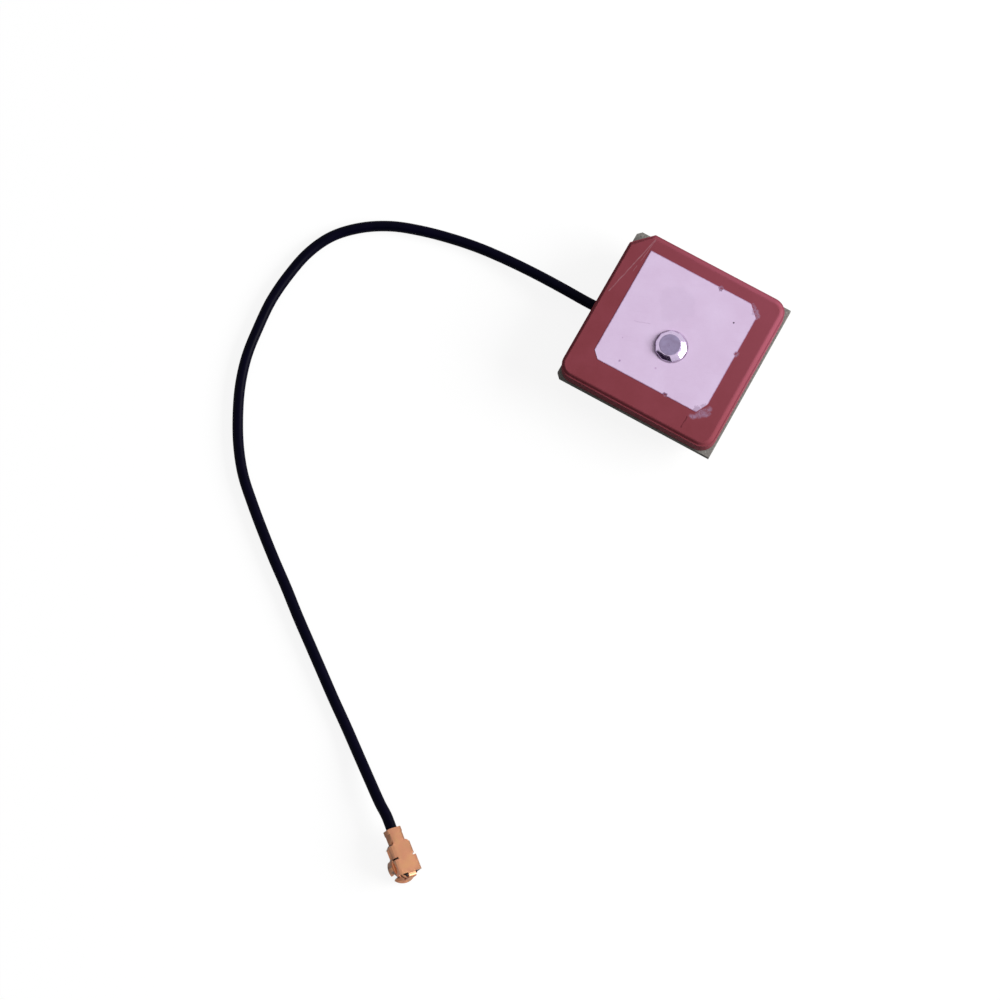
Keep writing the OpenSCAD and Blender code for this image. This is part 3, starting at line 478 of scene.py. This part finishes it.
# Painted shade: a darker, patchy ring on the silver just outside the solder's foot.
painted_foot_shade = w.fall(from_solder, SOLDER_R - 0.01, SOLDER_R + 0.09)
patchy = w.level(effect(w, "cloud", place, Spread=0.9, Edge=0.2), 0.3, 1.0)
colour = w.paint(colour, painted_foot_shade, patchy, (128, 108, 132))
streak = drawn_line(w, place, SILVER_TOP, (-4.5, -0.5), (-2.9, 0.05), 0.06, 0.3)
colour = w.paint(colour, streak, 0.25, (150, 120, 156))
height = w.minus(effect(w, "grain", place, Size=0.09), w.times(rubs, 0.3))
dress("fired_silver", colour, w.level(clouds, 0.74, 0.84), height, 0.005)

# %% [markdown]
# ## Pin and solder
# The head of the feed pin is dull plated metal, and the solder round it froze bright, so it mirrors whatever
# stands around it. The dullness is made by roughness and by small pits, and the brightness by the lack of
# both.

# %% Dull pin metal
w, place = new_finish("pin_metal", "dull pin metal", Metallic=1.0)
clouds = effect(w, "cloud", place, Spread=0.7, Edge=0.3)
pits = effect(w, "specks", place, Spacing=0.28, Radius=0.05, Share=0.35)
colour = w.paint(w.mix(clouds, ink(132, 118, 146), ink(148, 138, 168)), pits, 0.45, (104, 92, 118))
height = w.minus(effect(w, "grain", place, Size=0.12), pits)
dress("pin_metal", colour, w.level(clouds, 0.52, 0.64), height, 0.006)

# %% Bright solder
w, place = new_finish("solder", "bright solder", Metallic=1.0)
clouds = effect(w, "cloud", place, Spread=0.6, Edge=0.25)
colour = w.mix(clouds, ink(213, 194, 224), ink(198, 180, 212))
dress("solder", colour, w.level(clouds, 0.1, 0.24), w.noise(place, 1.4, 1.0), 0.02)

# %% [markdown]
# ## The board and what is under it
# The board is glass cloth in resin. On its face the weave shows as a faint check, and on its sawn edges the
# layers show as broken pale threads. Threads could be modelled, but sine waves along X, Y and Z give the same
# look without a single extra face. Below the board are gold-flashed copper pads and the tinned can. Tin has
# a soft spangle and picks up handling scratches, gold stays cleaner.

# %% Laminate
THREAD, LAYER = 0.42, 0.17
w, place = new_finish("laminate", "glass laminate", IOR=1.5, Specular_IOR_Level=0.2)
x, y, z = w.split(place)
weave = w.times(w.waves(x, THREAD), w.waves(y, THREAD))
layers = w.math("SINE", w.plus(w.times(z, 2 * math.pi / LAYER), w.times(w.noise(place, 1.2), 5.0)))
check = w.plus(w.times(weave, 0.25), w.times(layers, 0.25))
check = w.plus(check, w.noise(place, 3.5, 4.0, 0.7), clamp=True)
dust = effect(w, "specks", place, Spacing=0.3, Radius=0.07, Share=0.35)
soot = effect(w, "specks", place, Spacing=0.45, Radius=0.09, Share=0.3)
colour = w.mix(check, ink(100, 98, 96), ink(139, 136, 131))
colour = w.paint(colour, dust, 0.6, (172, 172, 166))
colour = w.paint(colour, soot, 0.5, (74, 72, 70))
height = w.plus(check, effect(w, "grain", place, Size=0.08))
dress("laminate", colour, w.level(check, 0.72, 0.88), height, 0.012)

# %% Adhesive sheet
w, place = new_finish("adhesive", "adhesive sheet", IOR=1.46)
clouds = effect(w, "cloud", place, Spread=0.8, Edge=0.3)
fibres = effect(w, "scratches", place, Turn=0.7, Length=1.2, Width=0.04, Share=0.35)
colour = w.paint(w.mix(clouds, ink(208, 202, 188), ink(222, 218, 206)), fibres, 0.4, (236, 233, 224))
dress("adhesive", colour, w.level(fibres, 0.75, 0.6), effect(w, "grain", place, Size=0.06), 0.01)


# %% Metals that share one recipe
def plain_metal(slot, name, dark, pale, scratched, dull, bright, turn, spangle=0.0, pace=1.0):
    """Clouds of two tones, scratches along one direction and a roughness that follows both."""
    w, place = new_finish(slot, name, Metallic=1.0)
    clouds = effect(w, "cloud", place, Spread=1.8 * pace, Edge=0.3)
    marks = effect(w, "scratches", place, Turn=turn, Length=3.0 * pace, Width=0.03 * pace, Share=0.22)
    colour = w.mix(clouds, ink(*dark), ink(*pale))
    if spangle:
        cells = w.add("TexVoronoi", {"Vector": place, "Scale": 0.9 / pace}).outputs["Color"]
        colour = w.paint(colour, w.add("SeparateColor", {0: cells}).outputs[0], spangle, scratched)
    colour = w.paint(colour, marks, 0.35, scratched)
    roughness = w.plus(w.level(clouds, bright, dull), w.times(marks, 0.12))
    height = w.minus(effect(w, "grain", place, Size=0.15 * pace), marks)
    dress(slot, colour, roughness, height, 0.003 * pace)


plain_metal("plated_copper", "gold-flashed copper", (196, 162, 98), (208, 178, 114), (226, 200, 140),
            0.42, 0.3, turn=0.5, pace=0.6)
plain_metal("tinned_steel", "tinned sheet", (182, 181, 187), (196, 195, 199), (214, 213, 214),
            0.42, 0.26, turn=1.2, spangle=0.25)
plain_metal("gold_plate", "gold plate", (216, 180, 86), (226, 192, 100), (238, 210, 130),
            0.3, 0.18, turn=0.2, pace=0.3)

# %% [markdown]
# ## Chips and wires
# Nobody sees the parts inside the closed can, but they are there. Moulded resin is black with glass filler,
# chip capacitors are tan ceramic, chip coils a bluish one. The wires are tinned strands, and their
# insulation is a milky fluoropolymer. At this size the dull ones differ in little but their tones, so one
# recipe serves them all.

# %% Moulded and fired bodies
def fine_body(slot, name, dark, pale, grit, grain, rough, depth):
    """A dull body of two close tones with paler grit in it."""
    w, place = new_finish(slot, name, IOR=1.5)
    clouds = effect(w, "cloud", place, Spread=0.5, Edge=0.35)
    grits = effect(w, "specks", place, Spacing=0.16, Radius=0.03, Share=0.4)
    colour = w.paint(w.mix(clouds, ink(*dark), ink(*pale)), grits, 0.5, grit)
    roughness = w.level(clouds, rough, rough + 0.12)
    dress(slot, colour, roughness, effect(w, "grain", place, Size=grain), depth)


fine_body("chip_resin", "black resin", (30, 30, 32), (36, 36, 39), (66, 66, 70), 0.05, 0.55, 0.006)
fine_body("chip_ceramic", "tan ceramic", (166, 140, 104), (176, 150, 112), (196, 174, 138), 0.06, 0.5, 0.004)
fine_body("coil_ceramic", "blue-grey ceramic", (88, 104, 115), (98, 114, 124), (126, 140, 148),
          0.06, 0.45, 0.004)
fine_body("wire_insulation", "milky insulation", (232, 231, 226), (238, 238, 234), (246, 246, 244),
          0.2, 0.32, 0.003)
fine_body("plug_resin", "dark brown resin", (38, 22, 18), (48, 30, 25), (70, 48, 42), 0.05, 0.55, 0.005)

# %% Tinned strands
STRAND = 0.14
w, place = new_finish("braid_wire", "tinned strands", Metallic=1.0)
x, y, z = w.split(place)
one_way = w.waves(w.plus(x, w.plus(y, z)), STRAND)
other_way = w.waves(w.minus(x, w.plus(y, z)), STRAND)
plait = w.math("ABSOLUTE", w.larger(one_way, other_way))
tone = w.mix(effect(w, "cloud", place, Spread=0.4, Edge=0.3), ink(178, 166, 150), ink(196, 186, 172))
dress("braid_wire", w.mix(plait, ink(128, 116, 102), tone), w.level(plait, 0.5, 0.32), plait, 0.03)

# %% [markdown]
# ## Jacket and plug
# The jacket is black with a trace of violet, smooth, with a fine grain and soft patches that are slightly
# duller. The plug is thin bronze, flashed with gold that lets some copper through, so its tone drifts
# between orange, pink and yellow from one fold to the next. The gold could be a clear coat over copper, but
# one metal whose colour drifts looks the same. Two layers of clouds make the drift, and the second is read
# some millimetres further on, so that the two don't fall together. The plug shines softly, and its nose,
# where the sheet was bent, is matt.

# %% Jacket
w, place = new_finish("lead_jacket", "black jacket", IOR=1.4, Specular_IOR_Level=0.05)
clouds = effect(w, "cloud", place, Spread=1.6, Edge=0.3)
colour = w.mix(clouds, ink(0, 0, 13), ink(4, 2, 21))
dress("lead_jacket", colour, w.level(clouds, 0.38, 0.5), effect(w, "grain", place, Size=0.25), 0.01)
lead.data.materials.append(finishes["lead_jacket"])

# %% Gold-flashed bronze
PLUG_AXIS, PLUG_MIDDLE = (0.772, -0.636, 0), 40.56  # the way the nose points, and the ring's place on it
w, place = new_finish("plug_bronze", "gold-flashed bronze", Metallic=1.0)
clouds = effect(w, "cloud", place, Spread=1.1, Edge=0.25)
blush = effect(w, "cloud", w.vector("ADD", place, (7, 3, 1)), Spread=0.6, Edge=0.25)
lines = effect(w, "scratches", place, Turn=0.69, Length=0.5, Width=0.012, Share=0.2)
colour = w.mix(clouds, ink(193, 135, 106), ink(189, 143, 100))
colour = w.paint(colour, blush, 0.6, (198, 130, 106))
colour = w.paint(colour, lines, 0.2, (228, 176, 136))
nose = w.fade(w.minus(w.vector("DOT_PRODUCT", place, PLUG_AXIS), PLUG_MIDDLE), 0.95, 1.15)
roughness = w.plus(w.level(clouds, 0.12, 0.17), w.times(nose, 0.32))
height = w.minus(effect(w, "grain", place, Size=0.3), lines)
dress("plug_bronze", colour, roughness, height, 0.0008)
print("finishes:", len(finishes))

# %% [markdown]
# ## Dressing the CAD parts
# A CAD part whose shape is right keeps its mesh and only gets its finish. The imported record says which
# finish belongs to which part, so the names can't drift apart.

# %% Finishes for the CAD parts
subparts = frame["record"]["subparts"]
for entry in subparts:
    for holder in parts[entry["node"]].material_slots:
        holder.material = finishes[entry["material_slot"]]
print("dressed", len(subparts), "parts")


# %% [markdown]
# ## Tools for shaping
# Blender's modelling tools are tuned for things about a metre long, and some of them merge what lies closer
# than a tenth of a millimetre. So a piece is shaped a thousand times larger, with one unit as one
# millimetre, and shrunk at the very end. Before each tool runs, only what it should change is selected.

# %% Setting down and picking
def set_down(name):
    """Names the new primitive and puts its place and size into its mesh."""
    piece = bpy.context.object
    piece.name = piece.data.name = name
    bpy.ops.object.transform_apply(location=True, rotation=True, scale=True)
    return piece


def pick(kind, test):
    """In edit mode, selects each VERT, EDGE or FACE whose middle, and direction or normal, pass."""
    bpy.ops.mesh.select_mode(type=kind)
    bpy.ops.mesh.select_all(action="DESELECT")
    mesh = bmesh.from_edit_mesh(bpy.context.object.data)
    if kind == "VERT":
        found = [v for v in mesh.verts if test(v.co, v.normal)]
    elif kind == "EDGE":
        ends = [(e, e.verts[0].co, e.verts[1].co) for e in mesh.edges]
        found = [e for e, a, b in ends if test((a + b) / 2, (b - a).normalized())]
    else:
        found = [f for f in mesh.faces if test(f.calc_center_median(), f.normal)]
    for item in found:
        item.select_set(True)
    bmesh.update_edit_mesh(bpy.context.object.data)
    return len(found)


# %% Modifiers and the last touch
def apply_modifier(piece, name, kind, **settings):
    """Adds a modifier to a piece and applies it."""
    take_up(piece)
    modifier = piece.modifiers.new(name, kind)
    for label, value in settings.items():
        setattr(modifier, label, value)
    bpy.ops.object.modifier_apply(modifier=name)


def soften(piece, width, segments=2, angle=30):
    """Rounds every edge sharper than the angle, as handling and tumbling do."""
    apply_modifier(piece, "soft edges", "BEVEL", width=width, segments=segments, limit_method="ANGLE",
                   angle_limit=math.radians(angle))


def finish_piece(piece, slot, *replaced, smooth_to=40, flat=False):
    """Shrinks a piece to metres, smooths it, gives it its finish, hangs it on the root and hides the CAD
    parts it replaces.

    With flat, its large faces set the shading, and so stay flat beside rounded edges.
    """
    take_up(piece)
    piece.data.transform(Matrix.Scale(MM, 4))
    bpy.ops.object.shade_smooth_by_angle(angle=math.radians(smooth_to))
    piece.data.materials.clear()
    piece.data.materials.append(finishes[slot])
    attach(piece, "root")
    if replaced:
        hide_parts(*replaced)
    if flat:
        apply_modifier(piece, "flat faces stay flat", "WEIGHTED_NORMAL", keep_sharp=True)
    print(piece.name, "has", len(piece.data.polygons), "faces")


# %% [markdown]
# ## The tile
# The real tile is pressed in a die: three round corners, one straight corner that shows which way it goes,
# and a rim that steps down to a narrow land before the side wall starts. It is made from a cube as by hand.
# The corners are bevelled first, then the top face is inset for the land and inset once more while it rises,
# which gives the sloped rim all round in one go. The real rim is narrower on its -X and -Y sides, so the top
# is drawn out towards them.

# %% Tile
RIM_W, RIM_H, LAND_W = 0.34, 0.3, 0.14
CORNER_R, CORNER_CUT = 1.6, 2.0
DRAWN_X, DRAWN_Y = 0.22, 0.15

rest_tools()
bpy.ops.mesh.primitive_cube_add(size=1, location=(TILE_X, TILE_Y, TILE_FOOT + (TILE_T - RIM_H) / 2),
                                scale=(TILE_W, TILE_W, TILE_T - RIM_H))
tile = set_down("tile")
bpy.ops.object.mode_set(mode="EDIT")
pick("EDGE", lambda m, d: abs(d.z) > 0.9 and not (m.x < 0 and m.y > 0))
bpy.ops.mesh.bevel(offset=CORNER_R, segments=10, affect="EDGES")
near_corner = TILE_W / 2 - 0.05
pick("EDGE", lambda m, d: abs(d.z) > 0.9 and m.x < TILE_X - near_corner and m.y > TILE_Y + near_corner)
bpy.ops.mesh.bevel(offset=CORNER_CUT, segments=1, affect="EDGES")
pick("FACE", lambda m, n: n.z > 0.9)
bpy.ops.mesh.inset(thickness=LAND_W)
bpy.ops.mesh.inset(thickness=RIM_W, depth=RIM_H)
top_w = TILE_W - 2 * (LAND_W + RIM_W)
bpy.ops.transform.resize(value=(1 + DRAWN_X / top_w, 1 + DRAWN_Y / top_w, 1),
                         center_override=(TILE_X + top_w / 2, TILE_Y + top_w / 2, TILE_FOOT))
bpy.ops.object.mode_set(mode="OBJECT")
print("top of the tile is", round(top_w, 2), "mm wide before it is drawn out")

# %% Hole for the pin, and soft edges
PIN_X, PIN_Y, PIN_HOLE_R = 0.02, -1.05, 0.55
BROW_R, EDGE_R = 0.13, 0.04


def bore(piece, radius, sides, depth, middle):
    """Drills an upright hole through a piece where the pin stands."""
    rest_tools()
    bpy.ops.mesh.primitive_cylinder_add(vertices=sides, radius=radius, depth=depth,
                                        location=(PIN_X, PIN_Y, middle))
    drill = set_down("drill")
    apply_modifier(piece, "hole", "BOOLEAN", operation="DIFFERENCE", object=drill, solver="EXACT")
    bpy.data.objects.remove(drill)


bore(tile, PIN_HOLE_R, sides=32, depth=6, middle=4.5)
take_up(tile)
bpy.ops.object.mode_set(mode="EDIT")
brow = pick("EDGE", lambda m, d: m.z > TILE_TOP - 0.001 and math.hypot(m.x - PIN_X, m.y - PIN_Y) > 2)
bpy.ops.mesh.bevel(offset=BROW_R, segments=4, affect="EDGES")
bpy.ops.object.mode_set(mode="OBJECT")
print("rounded", brow, "edges of the tile's top")
soften(tile, EDGE_R, segments=3, angle=25)
finish_piece(tile, "tile_ceramic", "ceramic_tile", flat=True)

# %% [markdown]
# ## The pin and its solder
# The pin is a short rod with a flat head. It starts as the rod, and its top face is widened and raised, so
# that rod and head are one closed shape. The solder was drawn up round the head and froze in flat, slightly
# uneven facets, which is why one of them flashes white while its neighbour stays dark. Ten facets of a cone,
# with their corners moved a little, mirror their surroundings in the same way. A smooth ring would not.

# %% Pin
PIN_R, HEAD_R, HEAD_T = 0.45, 1.125, 0.5
LIP_W, DISH_W, DISH = 0.1, 0.3, 0.01  # a flat lip, then a slope down to a slightly lower middle
HEAD_Z, TAIL_Z = SILVER_TOP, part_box("feed_pin")[0].z * TO_MM

rest_tools()
bpy.ops.mesh.primitive_cylinder_add(vertices=64, radius=PIN_R, depth=HEAD_Z - TAIL_Z,
                                    location=(PIN_X, PIN_Y, (HEAD_Z + TAIL_Z) / 2))
feed = set_down("feed_pin_turned")
bpy.ops.object.mode_set(mode="EDIT")
pick("FACE", lambda m, n: n.z > 0.9)
bpy.ops.mesh.extrude_region_move()
bpy.ops.transform.resize(value=(HEAD_R / PIN_R, HEAD_R / PIN_R, 1), center_override=(PIN_X, PIN_Y, HEAD_Z))
bpy.ops.mesh.extrude_region_move(TRANSFORM_OT_translate={"value": (0, 0, HEAD_T)})
bpy.ops.mesh.inset(thickness=LIP_W, depth=0.0)
bpy.ops.mesh.inset(thickness=DISH_W, depth=-DISH)
bpy.ops.object.mode_set(mode="OBJECT")
soften(feed, 0.035, segments=3)
finish_piece(feed, "pin_metal", "feed_pin")

# %% Solder: a cone with ten facets, from its foot up to the head
FACETS, FACET_TURN = 10, math.radians(101)
FOOT_H, CONE_H, TOP_SHARE = 0.12, 0.33, 0.675
SOLDER_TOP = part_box("pin_collar")[1].z * TO_MM

rest_tools()
bpy.ops.mesh.primitive_cylinder_add(vertices=FACETS, radius=SOLDER_R, depth=FOOT_H,
                                    location=(SOLDER_X, SOLDER_Y, HEAD_Z + FOOT_H / 2),
                                    rotation=(0, 0, FACET_TURN))
collar = set_down("solder_round_pin")
bpy.ops.object.mode_set(mode="EDIT")
pick("FACE", lambda m, n: n.z > 0.9)
bpy.ops.mesh.extrude_region_move(
    TRANSFORM_OT_translate={"value": (PIN_X - SOLDER_X, PIN_Y - SOLDER_Y, CONE_H)})
bpy.ops.transform.resize(value=(TOP_SHARE, TOP_SHARE, 1), center_override=(PIN_X, PIN_Y, SOLDER_TOP))


# %% Solder: uneven corners on top of its foot
FOOT_SHARE = 0.965
LIFT_LEFT, LIFT_FAR = 0.13, 0.1  # the solder climbed higher there


def on_foot(p):
    """True for the corners between the foot and the cone."""
    return HEAD_Z + 0.05 < p.z < HEAD_Z + 0.2


pick("VERT", lambda p, n: on_foot(p))
bpy.ops.transform.resize(value=(FOOT_SHARE, FOOT_SHARE, 1), center_override=(SOLDER_X, SOLDER_Y, HEAD_Z))
bpy.ops.transform.vertex_random(offset=0.03, uniform=0.5, seed=4)
left = pick("VERT", lambda p, n: on_foot(p) and p.x < SOLDER_X - 0.3)
bpy.ops.transform.translate(value=(0, 0, LIFT_LEFT))
far = pick("VERT", lambda p, n: on_foot(p) and p.x < SOLDER_X + 0.7 and p.y > SOLDER_Y)
bpy.ops.transform.translate(value=(0, 0, LIFT_FAR))
print("lifted", left, "corners on the left and", far, "on the far side")
bpy.ops.object.mode_set(mode="OBJECT")
soften(collar, 0.06, segments=3, angle=12)
bore(collar, HEAD_R - 0.03, sides=64, depth=3, middle=6)
finish_piece(collar, "solder", "pin_collar")

# %% [markdown]
# ## The plug
# The plug is cut and folded from sheet 0.15 mm thick, and such sheet has no knife edges: each fold and each
# cut edge catches a thin line of light. The CAD mesh already has every fold, so a copy of it is welded, its
# flat faces are joined to one face each, and its edges are rounded.

# %% Plug shell
plug = put_in("plug_stamping", parts["plug_shell"].data.copy())
plug.data.transform(Matrix.Scale(TO_MM, 4))
take_up(plug)
bpy.ops.object.mode_set(mode="EDIT")
bpy.ops.mesh.select_all(action="SELECT")
bpy.ops.mesh.remove_doubles(threshold=0.001)
bpy.ops.mesh.dissolve_limited(angle_limit=math.radians(1))
bpy.ops.object.mode_set(mode="OBJECT")
soften(plug, 0.018, angle=35)
finish_piece(plug, "plug_bronze", "plug_shell", smooth_to=22, flat=True)

# %% [markdown]
# ## A band over the plug's nose
# Between the ring's lip and the lid, a narrow band crosses the gap at the nose and parts it in two. It starts
# as a small rectangle, which is spun round the ring's axis into a bent strip and then leaned over. It is
# made where the plug would stand upright, and one matrix then lays it where the plug lies.

# %% Band
PLUG_FRAME = Matrix(((0.7716, 0.5717, 0.2789, 1.9819), (-0.6361, 0.6935, 0.3382, -61.36),
                     (0, -0.4384, 0.8988, 0.64), (0, 0, 0, 1)))
BAND_R, BAND_Z, BAND_W, BAND_H = 1.41, 1.42, 0.1, 0.2
BAND_AT, BAND_ROUND, BAND_LEAN = math.radians(-16), math.radians(37), math.radians(26)

rest_tools()
start = Vector((BAND_R * math.cos(BAND_AT), BAND_R * math.sin(BAND_AT), BAND_Z))
bpy.ops.mesh.primitive_plane_add(size=1, location=start, rotation=(math.radians(90), 0, BAND_AT))
band = set_down("plug_nose_band")
bpy.ops.object.mode_set(mode="EDIT")
bpy.ops.mesh.select_all(action="SELECT")
bpy.ops.transform.resize(value=(BAND_W, BAND_W, BAND_H), center_override=start)
bpy.ops.mesh.spin(steps=10, angle=BAND_ROUND, center=(0, 0, 0), axis=(0, 0, 1))
bpy.ops.mesh.select_all(action="SELECT")
bpy.ops.transform.rotate(value=BAND_LEAN, orient_axis="X", center_override=start)
bpy.ops.mesh.normals_make_consistent(inside=False)
bpy.ops.object.mode_set(mode="OBJECT")
band.data.transform(PLUG_FRAME)
soften(band, 0.02, angle=35)
finish_piece(band, "plug_bronze", flat=True)

# %% [markdown]

# %% [markdown]
# ## Floor and light
# The object lies on white, and the floor has a look for each kind of ray. What the camera sees is lifted to
# white by a light of its own, so that the shadow stays but stays faint. Shiny surfaces see a pale floor with
# a little of that light, and the light that goes back up from it is that of a grey floor, so that what faces
# down stays dark.
#
# One broad soft box stands low on the right, where the bright side of the solder says it stood. A sky that
# is brightest overhead and dim on the near side gives the rest, so that the near sides of the tile stay
# darker than its top. A small dark card close to the tile is seen by shiny surfaces alone, and gives the
# solder a dark facet.

# %% Floor
FLOOR_W, FLOOR_Z = 3, -0.00002
FLOOR_GREY, FLOOR_GLOW = 0.14, 0.88  # for the camera
MIRRORED_GREY, MIRRORED_GLOW = 0.7, 0.12  # for shiny surfaces
BOUNCE_GREY = 0.22  # for all other light


def grey(value):
    """A colour without hue, in straight values."""
    return (value, value, value, 1)


def ray_kinds(wiring):
    """Masks of the rays that come straight from the camera and of those that a shiny surface sends."""
    ray = wiring.add("LightPath").outputs
    return wiring.larger(ray["Is Camera Ray"], ray["Is Transmission Ray"]), ray["Is Glossy Ray"]


rest_tools()
bpy.ops.mesh.primitive_plane_add(size=FLOOR_W, location=(0, 0, FLOOR_Z))
floor = set_down("floor")
white, w, shader = new_material("white floor", Roughness=0.9, Specular_IOR_Level=0.0)
direct, mirrored = ray_kinds(w)
tone = w.mix(mirrored, grey(BOUNCE_GREY), grey(MIRRORED_GREY))
w.join(w.mix(direct, tone, grey(FLOOR_GREY)), shader.inputs["Base Color"])
strength = w.plus(w.times(direct, FLOOR_GLOW), w.times(mirrored, MIRRORED_GLOW))
glow = w.add("Emission", {"Color": grey(1), "Strength": strength})
both = w.add("AddShader", {0: shader.outputs[0], 1: glow.outputs[0]})
w.join(both.outputs[0], w.tree.nodes["Material Output"].inputs["Surface"])
floor.data.materials.append(white)
print("floor", FLOOR_W, "m wide")

# %% Sky
SKY_NEAR, SKY_FAR = 0.22, 0.55  # how strongly it lights, on the near side and on the far one
SKY_LOW, SKY_HIGH = 0.4, 1.0  # how strongly shiny surfaces see it, at the horizon and higher up

world = bpy.data.worlds.new("studio")
world.use_nodes = True
bpy.context.scene.world = world
w = Wiring(world.node_tree)
direct, mirrored = ray_kinds(w)
north, up = w.split(w.add("TexCoord").outputs["Generated"])[1:]
height = w.larger(up, 0.0)
lighting = w.times(height, w.level(w.fade(north, -0.9, 0.2), SKY_NEAR, SKY_FAR))
reflected = w.level(w.fade(height, 0.0, 0.3), SKY_LOW, SKY_HIGH)
sky = world.node_tree.nodes["Background"]
w.join(w.level(direct, w.level(mirrored, lighting, reflected), 1.0), sky.inputs["Strength"])
sky.inputs["Color"].default_value = grey(1)
print("sky has", len(w.tree.nodes), "nodes")


# %% Soft box
BOX_W, BOX_H, BOX_POWER = 0.58, 0.36, 10.0
MIDDLE = Vector((0, 0, 0.0055))  # the middle of the tile's top


def toward(azimuth, elevation, distance):
    """A place seen from the tile at these angles; azimuth 0 is along +X."""
    turn, rise = math.radians(azimuth), math.radians(elevation)
    direction = Vector((math.cos(turn) * math.cos(rise), math.sin(turn) * math.cos(rise), math.sin(rise)))
    return MIDDLE + direction * distance


def facing(place):
    """Turns a lamp at a place so that it shines on the tile. A card shows the tile its back."""
    return (place - MIDDLE).to_track_quat("Z", "Y").to_euler()


light = bpy.data.lights.new("soft box", "AREA")
light.shape, light.size, light.size_y = "RECTANGLE", BOX_W, BOX_H
light.energy = BOX_POWER
soft_box = put_in("soft box", light)
soft_box.location = toward(azimuth=25, elevation=28, distance=0.8)
soft_box.rotation_euler = facing(soft_box.location)
soft_box.visible_camera = False
print("soft box at", [round(v, 3) for v in soft_box.location])

# %% Dark card
CARD_W, CARD_H = 0.06, 0.018

rest_tools()
spot = toward(azimuth=-94, elevation=31, distance=0.03)
bpy.ops.mesh.primitive_plane_add(size=1, location=spot, rotation=facing(spot))
dark_card = bpy.context.object
dark_card.name = "dark_card"
dark_card.scale = (CARD_W, CARD_H, 1)
black, w, shader = new_material("black felt", Base_Color=(0.03, 0.01, 0.045, 1), Roughness=1.0)
w.join(w.add("NewGeometry").outputs["Backfacing"], shader.inputs["Alpha"])
dark_card.data.materials.append(black)
dark_card.visible_camera = dark_card.visible_diffuse = dark_card.visible_shadow = False
dark_card.visible_transmission = False
print("dark card at", [round(v, 3) for v in spot])

# %% [markdown]
# ## The picture
# The finishes are mixed from screen colours. The Standard view shows these as they are, where a filmic view
# would change them.

# %% Plain picture settings
bpy.context.scene.view_settings.view_transform = "Standard"
print("view:", bpy.context.scene.view_settings.view_transform)
